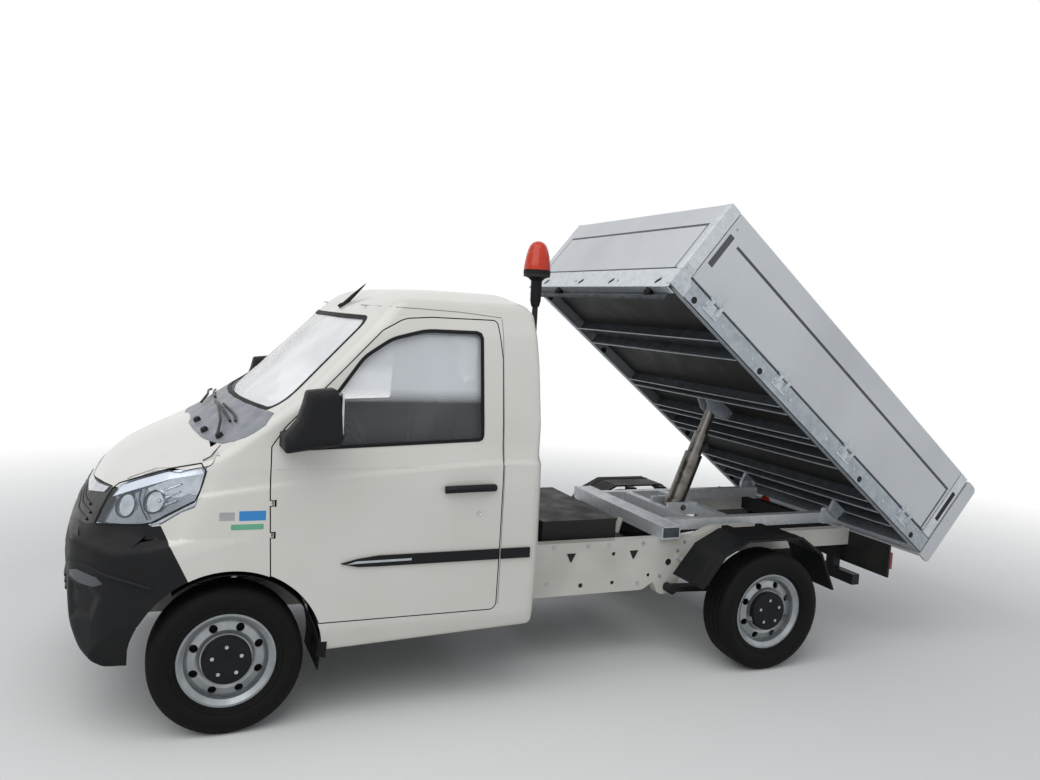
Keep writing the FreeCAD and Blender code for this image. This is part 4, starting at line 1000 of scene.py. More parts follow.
# window seals, door handle, side strip and small blank films; corners with a radius are in mm
trim = dict(
    screenHole=[(0, 1318), (690, 1318, 40), (610, 1712, 60), (0, 1712)],
    doorWindow=[(240, 1172, 25), (416, 1412, 180), (520, 1552, 180), (640, 1632, 200), (790, 1672, 300),
                (1046, 1672, 25), (1046, 1206, 20)],
    handleCup=[(862, 968, 12), (1000, 962, 20), (1108, 968, 20), (1108, 1034, 16), (1000, 1040, 20), (872, 1030, 20)],
    handleGrip=[(0.872, 0.996, 0.008), (0.915, 1.001, 0.024), (1.050, 1.004, 0.026), (1.100, 1.000, 0.008)],
    gripRadius=0.0165, lock=(1.035, 0.888),
    lockProfile=[(-0.002, 0.011), (0.002, 0.011), (0.003, 0.0088), (0.001, 0.0066), (0.001, 0.0001)],
    doorStrip=[(0.435, 0.6975), (0.505, 0.714), (0.595, 0.724), (1.137, 0.724), (1.137, 0.679), (0.595, 0.679),
               (0.505, 0.681)],
    cabStrip=(1.147, 1.284, 0.679, 0.724),
    insert=[(0.455, 0.694), (0.500, 0.706), (0.735, 0.707), (0.735, 0.698), (0.500, 0.696)],
    films=[("filmGrey", "greyVinyl", (-0.047, 0.012, 0.895, 0.928)),
           ("filmBlue", "blueVinyl", (0.028, 0.130, 0.893, 0.932)),
           ("filmGreen", "greenVinyl", (-0.002, 0.122, 0.857, 0.879))],
)


def grownLine(corners, grow):
    # the rounded outline moved outwards, mm; a negative grow moves it in
    line = roundedLine(corners) * 1000
    area = (line[:, 0] * np.roll(line[:, 1], -1) - np.roll(line[:, 0], -1) * line[:, 1]).sum()
    before = unit(line - np.roll(line, 1, axis=0))
    after = unit(np.roll(line, -1, axis=0) - line)
    along = unit(before + after)
    out = np.stack([along[:, 1], -along[:, 0]], 1) * np.sign(area)
    stretch = 1 / np.maximum(0.5, (along * after).sum(1))
    return (line + out * (grow * stretch)[:, None]) / 1000


def makeSeals():
    def ring(corners, axis, proud, outer, inner):
        return skinPatch(grownLine(corners, outer), axis, proud, thick=0.003, holes=[grownLine(corners, -inner)],
                         spacing=None)

    screen = ring(bothHalves(trim["screenHole"]), "y", proud=0.0016, outer=9, inner=7)
    addPiece("screenSeal", screen, "epdmRubber")
    window = ring(trim["doorWindow"], "x", proud=0.002, outer=6, inner=9)
    addPair("windowSeal", window, "epdmRubber", "door_")


def makeDoorTrim():
    cup = skinPatch(roundedLine(trim["handleCup"]), "x", proud=0.0015, thick=0.004)
    addPair("handleCup", cup, "acrylicPaint", "door_")
    grip = liftedTube(trim["handleGrip"], "x", trim["gripRadius"], "grainedPolypropylene", sides=12)
    addPair("handleGrip", grip, "grainedPolypropylene", "door_")
    lock = latheMesh(trim["lockProfile"], *formSpot(*trim["lock"], "x"), sides=24)
    addPair("doorLock", lock, "satinChrome", "door_")
    addPair("doorStrip", skinPatch(trim["doorStrip"], "x", proud=0.010, thick=0.012), "grainedPolypropylene", "door_")
    addPair("cabStrip", skinPatch(rectangle(*trim["cabStrip"]), "x", proud=0.010, thick=0.012), "grainedPolypropylene")
    addPair("stripInsert", skinPatch(trim["insert"], "x", proud=0.0115, thick=0.003), "satinChrome", "door_")
    for name, look, box in trim["films"]:
        addPair(name, skinPatch(rectangle(*box, radius=0.003), "x", proud=0.0006, thick=0.0012), look)


makeSeals()
makeDoorTrim()
print("seals and door trim done")

# wheels: black hub caps with five bright nuts, tyres with ribs and grooves
wheel = dict(
    hub=[(0.030, 0.0985), (0.068, 0.0985), (0.0745, 0.094), (0.0765, 0.086), (0.0765, 0.030), (0.0745, 0.020),
         (0.0745, 0.0001)],
    shade=[(0.002, 0.106), (0.002, 0.160), (-0.001, 0.160), (-0.001, 0.106), (0.002, 0.106)],
    nutRing=0.060, nutRadius=0.0052, nutHeight=0.008, nutDepth=0.0789, nuts=5, nutTurn=0.35,
    width=0.185, radius=0.306, bead=0.203, grooves=(-0.052, -0.018, 0.018, 0.052), grooveWidth=0.007,
    grooveDepth=0.008, grooveLip=(0.0005, 0.001), crown=0.004, shoulder=0.02, lining=(0.020, 0.006),
    # sidewall from the bead up: out from half the width, up from the bead
    wall=[(-0.018, -0.002), (-0.006, 0.004), (-0.003, 0.012), (-0.005, 0.016), (0.001, 0.026), (0.004, 0.044),
          (0.0045, 0.052), (0.0030, 0.0535), (0.0030, 0.057), (0.004, 0.0585), (0.001, 0.072), (-0.006, 0.086),
          (-0.008, 0.0875), (-0.012, 0.094), (-0.020, 0.099)],
)


def tyreProfile():
    half, r, bead = wheel["width"] / 2, wheel["radius"], wheel["bead"]
    side = [(half + out, bead + up) for out, up in wheel["wall"]]
    tread = []
    w, d, (top, foot) = wheel["grooveWidth"] / 2, wheel["grooveDepth"], wheel["grooveLip"]
    for x in reversed(wheel["grooves"]):
        high = r - wheel["crown"] * (x / (half - wheel["shoulder"])) ** 2
        tread += [(x + w + top, high), (x + w - foot, high - d), (x - w + foot, high - d), (x - w - top, high)]
    inset, drop = wheel["lining"]
    lining = [(-half + inset, bead - drop), (half - inset, bead - drop)]
    return side + tread + [(-x, q) for x, q in reversed(side)] + lining + side[:1]


def makeWheels():
    turns = [wheel["nutTurn"] + k * 2 * math.pi / wheel["nuts"] for k in range(wheel["nuts"])]
    for end in ("Front", "Rear"):
        for hand, side in (("Left", 1), ("Right", -1)):
            tag, low = end + hand, (end + "_" + hand).lower()
            body, tyreNode = end.lower() + "_wheel_" + hand.lower(), "tyre_" + low
            x, y, z = jointAt["spin_" + low]
            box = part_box(tyreNode)
            aim, hub = (side, 0, 0), (x, y - axleY, z)
            tyre = latheMesh(tyreProfile(), ((box[0][0] + box[1][0]) / 2, y - axleY, z), aim, sides=96)
            addPiece("tyre" + tag, tyre, "tyreRubber", body, [tyreNode])
            addPiece("hubCap" + tag, latheMesh(wheel["hub"], hub, aim, sides=56), "grainedPolypropylene", body)
            addPiece("drumShade" + tag, latheMesh(wheel["shade"], hub, aim), "chassisEnamel", body)
            ring, out = wheel["nutRing"], side * wheel["nutDepth"]
            rows = [((x + out, y + ring * math.cos(t), z + ring * math.sin(t)), aim) for t in turns]
            nuts = boltMesh(rows, wheel["nutRadius"], wheel["nutHeight"], "satinChrome")
            addPiece("hubNuts" + tag, nuts, "satinChrome", body)


makeWheels()
print("wheels and tyres done")

# mirrors, aerial, wheel arch liners, mudflaps, beacon, roof seam
cabExtras = dict(
    mirrorLine=[(0.257, 1.424), (0.366, 1.436), (0.388, 1.389), (0.402, 1.240), (0.385, 1.211), (0.272, 1.197),
                (0.174, 1.183), (0.174, 1.246), (0.225, 1.310), (0.245, 1.372)],
    mirrorCorner=0.012, mirrorX=(0.868, 0.988), mirrorDome=0.035, mirrorFlat=0.62, mirrorGrid=0.012,
    mirrorGlass=(0.885, 0.972, 1.228, 1.415), mirrorGlassY=(0.388, 0.396),
    armLine=[(0.176, 1.190), (0.235, 1.196), (0.232, 1.262), (0.178, 1.244)], armX=(0.770, 0.885),
    aerialFoot=(0.13, 0.537, 1.747), aerialTip=(0.13, 0.655, 1.868), aerialRadius=0.011,
    # share of the length, more along it, share of the radius, more of it
    aerial=[(0, -0.006, 1.7, 0), (0, 0.010, 1.5, 0), (0, 0.022, 1, 0), (0.45, 0, 0.85, 0), (0.9, 0, 0.3, 0),
            (1, 0, 0, 0.0001)],
    flapLine=[(0.352, 0.300), (0.392, 0.290), (0.400, 0.455), (0.372, 0.470)], flapX=(0.640, 0.800),
    beacon=(0.400, 1.430, 0),
    stem=[(1.800, 0.0001), (1.800, 0.019), (1.830, 0.026), (1.925, 0.027), (1.938, 0.040), (1.947, 0.062),
          (1.962, 0.066), (1.976, 0.066), (1.980, 0.060), (1.980, 0.0001)],
    dome=[(1.979, 0.0001), (1.979, 0.0655), (1.990, 0.0655), (2.015, 0.0620), (2.045, 0.0565), (2.075, 0.0490),
          (2.096, 0.0400), (2.109, 0.0280), (2.116, 0.0130), (2.1175, 0.0001)],
    linerTurn=(-10.0, 126.0, 40), linerRadii=(0.366, 0.362), linerZ=0.306, linerX=(0.480, 0.806),
    seam=[(0.560, 1.765), (0.750, 1.763), (0.950, 1.757), (1.144, 1.741)], seamRadius=0.0022,
    rearSeam=[(1.146, 1.735), (1.146, 1.300), (1.146, 0.800), (1.146, 0.470)],
)


def mirrorShell():
    # a moulded shell: both faces swell away from the rim
    e = cabExtras
    line = roundedMetres(e["mirrorLine"], e["mirrorCorner"], step=8)
    flat, tris = fillOutline(denser(line, e["mirrorGrid"]), (), e["mirrorGrid"])
    u, v = flat[:, 0], flat[:, 1]
    rim = -lineField(u, v, line)[0]
    rise = 1 - (1 - np.clip(rim / e["mirrorDome"], 0, 1)) ** 2
    near, far = e["mirrorX"]
    swell = e["mirrorFlat"] + (1 - e["mirrorFlat"]) * np.sqrt(np.maximum(rise, 0))
    depth = (far - near) / 2 * swell
    middle = (near + far) / 2
    return closedShell("mirror", sidePlace(u, v, middle - depth), sidePlace(u, v, middle + depth), tris,
                       sharp=50)


def makeCabExtras():
    e = cabExtras
    housing = joined([mirrorShell(), plateMesh(e["armLine"], sidePlace, *e["armX"])])
    addPair("mirrorHousing", housing, "grainedPolypropylene", "door_", "mirror_")
    glass = plateMesh(rectangle(*e["mirrorGlass"], e["mirrorCorner"]), frontPlace, *e["mirrorGlassY"])
    addPair("mirrorGlass", glass, "vapourPlate", "door_")
    foot, tip = Vector(e["aerialFoot"]), Vector(e["aerialTip"])
    length, r = (tip - foot).length, e["aerialRadius"]
    profile = [(length * share + more, r * wide + least) for share, more, wide, least in e["aerial"]]
    addPiece("roofAerial", latheMesh(profile, foot, tip - foot, sides=16), "grainedPolypropylene")
    turn = np.radians(np.linspace(*e["linerTurn"]))
    outer, inner = e["linerRadii"]
    arc = np.concatenate([np.stack([r * np.cos(t), e["linerZ"] + r * np.sin(t)], 1)
                          for r, t in ((outer, turn), (inner, turn[::-1]))])
    addPair("archLiner", plateMesh(arc, sidePlace, *e["linerX"]), "epdmRubber")
    addPiece("beaconStem", latheMesh(e["stem"], e["beacon"], (0, 0, 1), sides=32), "grainedPolypropylene")
    dome = latheMesh(e["dome"], e["beacon"], (0, 0, 1), sides=20)
    addPiece("beaconLens", dome, "orangeAcrylic", "chassis", ["beacon_dome"])
    addPair("mudflapFront", plateMesh(e["flapLine"], sidePlace, *e["flapX"]), "epdmRubber")
    seams = [formTube(e[row], proud, e["seamRadius"], "epdmRubber", "x", step=0.03, sides=6)
             for row, proud in (("seam", -0.0008), ("rearSeam", -0.0012))]
    addPair("roofSeam", joined(seams), "seamSealer")


makeCabExtras()
print("mirrors, aerial and seams done")

# bed: folded zinc frame, grooved aluminium sides, hinges, latch slots; s runs back along the floor, h up from it
bed = dict(
    front=1.476, bottom=0.760, pivot=(3.393, 0.710), tilt=38.54,
    half=0.822, inner=0.772, length=2.206, rail=0.095, railFoot=0.042, sheet=0.004,
    # edge: strips of painted highlight on the cross member lips: low and high h, width
    rearRail=(2.150, 2.206), crossDepth=0.060, crossLip=0.013, crossSheet=0.003, edge=(-0.0015, 0.0005, 0.007),
    crossRows=[(0.428, 0.554), (0.940, 0.985), (1.205, 1.250), (1.387, 1.443), (1.757, 1.837), (1.861, 1.972)],
    railHoles=[(s, 0.030, 0.017) for s in (0.153, 0.677, 1.570, 2.083)],
    posts=((0, 0.065, 0.508), (2.140, 2.200, 0.505)),
    frontDrop=-0.022, frontLip=0.045, slotTurn=35, pinEnds=0.048,
    pivotPin=[(-0.006, 1.5), (0, 1.5), (0, 1), (0.059, 1)],
    # sill behind the front face: its plane, the first two sides across it, then its depth
    sill=[("face", -0.060, -0.018, 0.041, 0.045), ("floor", 0.018, 0.045, -0.060, -0.057),
          ("face", -0.060, 0.060, 0.0455, 0.0485)],
    hingeRows=[0.2593, 0.8177, 1.3939, 1.9589], hingeX=0.832, hingeH=0.098,
    rearShade=(0.0015, 0.0004), frontShade=(0, 0.815, 0.003, 0.042), frontShadeDepth=(0.005, 0.007),
    hingePin=[(-0.050, 0.0001), (-0.050, 0.005), (-0.046, 0.007), (0.046, 0.007), (0.050, 0.005), (0.050, 0.0001)],
    tabEnds=((-0.040, -0.020), (0.020, 0.040)), basePlate=(0.052, 0.032, 0.088, 0.006), plateThick=0.0035,
    plateHoles=(0.043, 0.050, 0.005, 12), gussetThick=0.003, leafHalf=0.017,
    hingeTab=[(0.821, 0.040), (0.826, 0.042), (0.8405, 0.088), (0.8405, 0.100), (0.832, 0.107), (0.821, 0.104)],
    hingeLeaf=[(0.8205, 0.094), (0.834, 0.090), (0.8405, 0.098), (0.834, 0.110), (0.827, 0.118), (0.827, 0.158),
               (0.8205, 0.160)],
    frontSlots=[-0.605, -0.138, 0.219, 0.692], frontSlot=(0.020, 0.050, 0.025), frontHoles=[-0.204, 0.291],
    frontHole=(0.022, 0.008, 16), play=0.001,
    lugs=[([(0.985, 0.060), (0.985, 0.010), (1.060, -0.030), (1.130, -0.030), (1.205, 0.010), (1.205, 0.060)],
           (0.036, 0.048)),
          ([(1.864, 0.0), (1.879, -0.070), (1.954, -0.070), (1.969, 0.0)], (0.406, 0.430))],
    eye=(0, 2.785, 1.265), eyeRadius=0.012, pivotX=0.381, pivotRadius=0.015,
    ear=[(2.190, 0.461), (2.190, 0.497), (2.270, 0.499), (2.281, 0.488), (2.281, 0.470), (2.270, 0.461)],
    earX=(0.788, 0.796), earHole=(2.263, 0.481, 0.0085, 16),
    gusset=[(0.0, 0.0), (0.095, 0.0), (0.095, 0.060), (0.066, 0.092), (0.066, 0.135), (0.0, 0.135)],
    # rows of bolts: x, h and the places along s
    bolts=[(0.826, 0.020, (0.018, 0.050, 0.080)), (0.826, 0.075, (0.018, 0.050)), (0.826, 0.118, (0.018, 0.050)),
           (0.823, 0.045, (0.360, 0.600, 0.920, 1.240, 1.500, 1.780, 2.030, 2.150))],
    boltSize=(0.006, 0.005), buffers=[-0.386, 0.638], bufferSpot=(0.022, -0.022),
    buffer=[(0, 0.0001), (0, 0.020), (0.022, 0.024), (0.034, 0.018), (0.036, 0.0001)],
    side=(0.790, 0.8155), skin=(0.815, 0.8215), sideEnds=(0.071, 2.134), sideRows=(0.104, 0.505),
    groove=(0.366, 0.382), grooveStart=0.160, grooveEnds=(2.108, 2.121), slotBox=(0.088, 0.122, 0.207, 0.396),
    slotHole=(0.105, 0.434, 0.007, 16), rearSlot=(2.158, 2.188, 0.200, 0.390), slotCorner=0.004,
    headGroove=(0.742, 0.754), headFoot=0.105, headLift=0.006, headSkin=(0.0005, 0.0065), headCore=(0.006, 0.035),
    headShade=(0.0045, 0.0062),
    tailRivets=((2.245, 0.040), (2.245, 0.250), (2.262, 0.481)), rivetX=0.8225, rivetSize=(0.0055, 0.003),
    swage=(-0.740, 0.740, 0.060, 0.400, 0.020), swageDepth=(2.2448, 2.2490),
)


def bedPlace(order):
    # puts (u, v, w) on the bed's own axes x, s and h, tipped
    turn = math.radians(bed["tilt"])
    py, pz = bed["pivot"]

    def place(u, v, w):
        given = dict(zip(order, (u, v, w)))
        y, z = bed["front"] + given["s"] - py, bed["bottom"] + given["h"] - pz
        return np.stack([given["x"] + 0 * y, py + y * math.cos(turn) + z * math.sin(turn) + axleY,
                         pz - y * math.sin(turn) + z * math.cos(turn)], 1)
    return place


bedSide, bedFace, bedFloor, bedRun = (bedPlace(order) for order in ("shx", "xhs", "xsh", "sxh"))


def bedSpot(x, s, h):
    return bedFloor(*(np.array([v]) for v in (x, s, h)))[0] - fromAxle


def bedAim(s, h):
    turn = math.radians(bed["tilt"])
    return (0, s * math.cos(turn) + h * math.sin(turn), -s * math.sin(turn) + h * math.cos(turn))


def bedBolts(rows, size):
    # bolts on both sides of the bed
    spots = [(bedSpot(x * side, s, h) + fromAxle, (side, 0, 0)) for x, s, h in rows for side in (1, -1)]
    return boltMesh(spots, *size, "brightZinc")


def grown(box, by):
    return rectangle(box[0] - by, box[1] + by, box[2] - by, box[3] + by)


def makeBedFrame():
    b = bed
    t, half, inner, rail = b["sheet"], b["half"], b["inner"], b["rail"]
    cups = [circle(s, h, r, 24) for s, h, r in b["railHoles"]]
    parts = bothMesh(plateMesh(rectangle(0, b["length"], 0, rail), bedSide, half - t, half, cups),
                     plateMesh(rectangle(0, b["length"], half - b["railFoot"], half), bedRun, 0, t),
                     plateMesh(rectangle(0, b["length"], inner, half), bedRun, rail - t, rail))
    h, *size = b["frontSlot"]
    slots = [slot(x, h, *size, math.radians(b["slotTurn"])) for x in b["frontSlots"]]
    slots += [circle(x, *b["frontHole"]) for x in b["frontHoles"]]
    web, drop = half - t - b["play"], b["frontDrop"]
    bright = [plateMesh(rectangle(-web, web, drop, rail), bedFace, 0, t, slots),
              plateMesh(rectangle(-web, web, 0, b["frontLip"]), bedFloor, drop, drop + t)]
    d, lip, sheet = b["crossDepth"], b["crossLip"], b["crossSheet"]
    planes = {"face": bedFace, "floor": bedFloor}
    crosses = [plateMesh(rectangle(-inner, inner, *sides), planes[plane], near, far)
               for plane, *sides, near, far in b["sill"]]
    under, over, wide = b["edge"]
    for s0, s1 in b["crossRows"]:
        hat = [(s0 - lip, 0), (s0 + sheet, 0), (s0 + sheet, d - sheet), (s1 - sheet, d - sheet), (s1 - sheet, 0),
               (s1 + lip, 0), (s1 + lip, sheet), (s1, sheet), (s1, d), (s0, d), (s0, sheet), (s0 - lip, sheet)]
        crosses.append(plateMesh(hat, bedSide, -inner, inner))
        # bright strips along the lips in the paler zinc: painted highlight on the edges of the darker cross members
        bright += [plateMesh(rectangle(s, s + wide, under, over), bedSide, -inner, inner)
                   for s in (s0 - lip, s1 + lip - wide)]
    s0, s1 = b["rearRail"]
    top = rail - sheet
    rear = [(s0, 0), (s1, 0), (s1, rail), (s0, rail), (s0, top), (s1 - t, top), (s1 - t, sheet), (s0, sheet)]
    parts.append(plateMesh(rear, bedSide, -inner, inner))
    for s0, s1, top in b["posts"]:
        cut = [rectangle(*b["rearSlot"], b["slotCorner"])] if s0 else []
        bright += bothMesh(plateMesh(rectangle(s0, s1, rail, top), bedSide, half - t, half, cut),
                           plateMesh(rectangle(inner, web - b["play"], s0, s1, radius=0.003), bedFloor, rail, top))
    parts += bothMesh(*(plateMesh(line, bedSide, *x) for line, x in b["lugs"]),
                      plateMesh(b["ear"], bedSide, *b["earX"], [circle(*b["earHole"])]))
    r = b["eyeRadius"]
    parts.append(latheMesh([(-b["pinEnds"], r), (b["pinEnds"], r)], b["eye"], sides=20))
    pin = [(along, b["pivotRadius"] * share) for along, share in b["pivotPin"]]
    parts += bothMesh(latheMesh(pin, (b["pivotX"], *b["pivot"]), sides=24))
    # the frame in the darker zinc: painted shade under the bed
    addPiece("bedFrame", joined(parts), "weatheredZinc", "bed", ["bed_frame"])
    # cross members in the darker zinc: painted shade under the floor
    addPiece("bedCrossMembers", joined(crosses), "stainedZinc", "bed")
    addPiece("bedPosts", joined(bright), "galvanisedSteel", "bed")
    hinges = []
    for s in b["hingeRows"]:
        (wide, *base), (apart, *hole) = b["basePlate"], b["plateHoles"]
        holes = [circle(s + way, *hole) for way in (-apart, apart)]
        base = rectangle(s - wide, s + wide, *base)
        hinges += bothMesh(*(plateMesh(b["hingeTab"], bedFace, s + s0, s + s1) for s0, s1 in b["tabEnds"]),
                           latheMesh(b["hingePin"], bedSpot(b["hingeX"], s, b["hingeH"]), bedAim(1, 0), sides=16),
                           plateMesh(base, bedSide, half, half + b["plateThick"], holes))
    hinges += bothMesh(plateMesh(b["gusset"], bedSide, half, half + b["gussetThick"]))
    addPiece("bedHinges", joined(hinges), "brightZinc", "bed")
    rows = [(x, s, h) for x, h, places in b["bolts"] for s in places]
    addPiece("bedBolts", bedBolts(rows, b["boltSize"]), "brightZinc", "bed")
    # painted shade: dark backs of the slots and holes
    back = half - t
    near, far = b["rearShade"]
    dark = [plateMesh(grown(b["rearSlot"], 0.004), bedSide, back - near, back - far),
            *(latheMesh([(-0.0008, r * 1.2), (0, r * 1.2), (0, 0.0001)], bedSpot(back - 0.0005, s, h), sides=20)
              for s, h, r in b["railHoles"]),
            plateMesh(rectangle(*b["frontShade"]), bedFace, *b["frontShadeDepth"])]
    addPair("bedSlotShadow", joined(dark), "chassisEnamel", "bed")
    rubber = [latheMesh(b["buffer"], bedSpot(x, *b["bufferSpot"]), bedAim(0, -1), sides=24) for x in b["buffers"]]
    addPiece("bedBuffers", joined(rubber), "epdmRubber", "bed")


def makeBedPanels():
    b = bed
    (s0, s1), (h0, h1), (low, high), (g0, g1) = b["sideEnds"], b["sideRows"], b["groove"], b["grooveEnds"]
    first, out = b["grooveStart"], b["side"][1]
    outline = [(s0, h0), (g0, h0), (g0, low), (first, low), (first, high), (g1, high), (g1, h0), (s1, h0), (s1, h1),
               (s0, h1)]
    cuts = [rectangle(*b["slotBox"], b["slotCorner"]), circle(*b["slotHole"])]
    parts = [plateMesh(rectangle(s0, s1, h0, h1), bedSide, *b["side"]), plateMesh(outline, bedSide, *b["skin"], cuts)]
    parts += [plateMesh(b["hingeLeaf"], bedFace, s - b["leafHalf"], s + b["leafHalf"]) for s in b["hingeRows"]]
    addPair("dropsidePanel", joined(parts), "anodisedAluminium", "dropside_", "dropside_")
    # painted shade: dark strips in the groove and round the latch slot
    shade = [(first, low), (g0, low), (g0, h0 + 0.001), (g1, h0 + 0.001), (g1, high), (first, high)]
    dark = [plateMesh(shade, bedSide, out - 0.0005, out + 0.001),
            plateMesh(grown(b["slotBox"], 0.003), bedSide, out - 0.0005, out + 0.0015)]
    addPair("dropsideGroove", joined(dark), "greyAbs", "dropside_")
    inner, rail, foot = b["inner"], b["rail"], b["headFoot"]
    x0, x1 = b["headGroove"]
    low, high = low + b["headLift"], high + b["headLift"]
    rim = [(-inner, foot), (-x1, foot), (-x1, high), (x1, high), (x1, foot), (inner, foot), (inner, h1), (-inner, h1)]
    parts = [plateMesh(rectangle(-inner, inner, rail, h1), bedFace, *b["headCore"]),
             plateMesh(rectangle(-x0, x0, foot, low, 0.004), bedFace, *b["headSkin"]),
             plateMesh(rim, bedFace, *b["headSkin"])]
    addPiece("headboardPanel", joined(parts), "anodisedAluminium", "bed", ["headboard"])
    # painted shade: a dark sheet behind the groove of the headboard
    shade = plateMesh(rectangle(-inner, inner, rail, high + 0.004), bedFace, *b["headShade"])
    addPiece("headboardGroove", shade, "greyAbs", "bed")


def makeTailTrim():
    # end cap rivets and a pressed swage across the tailgate
    rows = [(bed["rivetX"], s, h) for s, h in bed["tailRivets"]]
    addPiece("tailRivets", bedBolts(rows, bed["rivetSize"]), "brightZinc", "tailgate")
    swage = plateMesh(rectangle(*bed["swage"]), bedFace, *bed["swageDepth"])
    addPiece("tailSwage", swage, "anodisedAluminium", "tailgate")


makeBedFrame()
makeBedPanels()
makeTailTrim()
print("bed done")

# chassis rails: holes with rolled lips, their insides dark discs of painted shade; triangular pockets as dark plates
# of painted shade; bolts, brackets
rail = dict(
    x=0.490, holes=[(1.727, 0.410, 0.012), (2.238, 0.502, 0.018), (2.228, 0.369, 0.013), (1.908, 0.413, 0.010),
                    (1.907, 0.564, 0.010), (1.420, 0.440, 0.010), (2.120, 0.440, 0.009)],
    pockets=[(1.666, 0.551), (2.026, 0.548)], pocketSize=30, pocketCorners=(5, 5, 8), pocketRim=0.0028,
    bolts=[(1.330, 0.612), (1.450, 0.612), (1.570, 0.612), (1.760, 0.612), (1.880, 0.612), (2.080, 0.612),
           (2.330, 0.606), (1.360, 0.460), (1.540, 0.430), (2.060, 0.400), (2.190, 0.430), (2.290, 0.560)],
    boltSize=(0.0065, 0.006),
    strut=[(0.200, 2.100, 0.675), (0.200, 2.070, 0.570)], strutRadius=0.016,
    guardLine=[(-0.430, 0.462), (-0.306, 0.616), (-0.168, 0.687), (0.168, 0.687), (0.301, 0.597), (0.395, 0.400)],
    guardRidges=(0.006, 0.052, 0.074), guardLip=0.0065,
    channel=(2.170, 2.280, 0.634, 0.700), channelX=0.520, channelWall=0.007, lip=0.004,
    strap=[(0.488, 2.300, 0.520), (0.640, 2.335, 0.497)], strapRadius=0.013,
    repeater=[(0, 0.0001), (0, 0.034), (0.030, 0.030), (0.042, 0.0001)], repeaterSpot=(-0.430, 3.560, 0.585),
)


def makeRailTrim():
    def bar(points, radius, look, sides=8):
        return tubeMesh(np.array(points) + fromAxle, radius, look, sides=sides)

    x = rail["x"]
    lips, dark = [], []
    for y, z, r in rail["holes"]:
        lips.append(latheMesh([(-0.001, r * 1.35), (0.0015, r * 1.25), (0.0015, r), (-0.001, r)], (x, y, z), sides=20))
        # dark disc inside each hole: painted shade
        dark.append(latheMesh([(-0.001, r), (0.0008, r), (0.0008, 0.0001)], (x, y, z), sides=20))
    k = rail["pocketSize"]
    for y, z in rail["pockets"]:
        ends = ((-k, k), (k, k), (0, -k))
        line = roundedLine([(y * 1000 + u, z * 1000 + v, r) for (u, v), r in zip(ends, rail["pocketCorners"])], 4)
        # dark triangle in each pocket: painted shade
        dark.append(plateMesh(line, sidePlace, x - 0.001, x + 0.0008))
        rim = sidePlace(line[:, 0], line[:, 1], x + 0 * line[:, 0])
        lips.append(tubeMesh(rim, rail["pocketRim"], "framePaint", closed=True))
    addPair("railLips", joined(lips), "framePaint")
    addPair("railHoles", joined(dark), "chassisEnamel")
    rows = [((side * (x + 0.002), y + axleY, z), (side, 0, 0)) for y, z in rail["bolts"] for side in (1, -1)]
    addPiece("railBolts", boltMesh(rows, *rail["boltSize"], "brightZinc"), "brightZinc")
    strut = bar(rail["strut"], rail["strutRadius"], "framePaint", sides=12)
    addPiece("subframeStrut", shadeMesh(strut), "framePaint")
    edge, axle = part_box("rear_fender_left")[1][0], jointAt["spin_rear_left"][1]
    guards = [tubeMesh([(edge - inset, axle + y, z) for y, z in rail["guardLine"]], rail["guardLip"],
                       "grainedPolypropylene") for inset in rail["guardRidges"]]
    addPair("guardLips", joined(guards), "grainedPolypropylene")
    y0, y1, _, top = rail["channel"]
    x, lip = rail["channelX"], rail["lip"]
    # painted shade: dark plates in the open ends of the channel
    ends = plateMesh(grown(rail["channel"], -rail["channelWall"]), sidePlace, x - 0.0005, x + 0.0006)
    addPair("channelEnds", ends, "stainedZinc")
    lips = [bar([(-x, y, top), (x, y, top)], lip, "galvanisedSteel") for y in (y0 + lip, y1 - lip)]
    addPiece("channelLips", joined(lips), "galvanisedSteel")
    addPair("guardStrap", shadeMesh(bar(rail["strap"], rail["strapRadius"], "brightZinc", sides=4)), "brightZinc")
    addPiece("repeaterLamp", latheMesh(rail["repeater"], rail["repeaterSpot"], sides=28), "orangeAcrylic")


makeRailTrim()
print("chassis trim done")

# seats: stitched cloth covers swollen over their foam by a short cloth run
seat = dict(
    voxel=0.009, shrink=0.965, pressure=4.0, quality=4, frames=20, cap=0.012, piping=0.0035,
    # CAD node, piece, the welt's outline and corner, the side that it is laid on from
    rows=[("seat_cushions", "seatCushion", (0.150, 0.550, 0.735, 1.050, 0.040), "top"),
          ("seat_backs", "seatBack", (0.165, 0.535, 0.900, 1.360, 0.040), "front")],
)


def halfOfNode(node):
    # the left seat of a CAD node, drawn in a little so that the cover can swell
    points, tris = weldedMesh(node)
    points = points + fromAxle
    used, index = np.unique(tris[(points[tris][:, :, 0] > 0).all(1)], return_inverse=True)
    points = points[used]
    middle = (points.min(0) + points.max(0)) / 2
    mesh = bpy.data.meshes.new(node)
    mesh.from_pydata((middle + (points - middle) * seat["shrink"]).tolist(), [], index.reshape(-1, 3).tolist())
    return mesh


def evaluated(piece):
    return piece.evaluated_get(bpy.context.evaluated_depsgraph_get())


def cornersOf(mesh):
    found = np.zeros(len(mesh.vertices) * 3)
    mesh.vertices.foreach_get("co", found)
    return found.reshape(-1, 3)


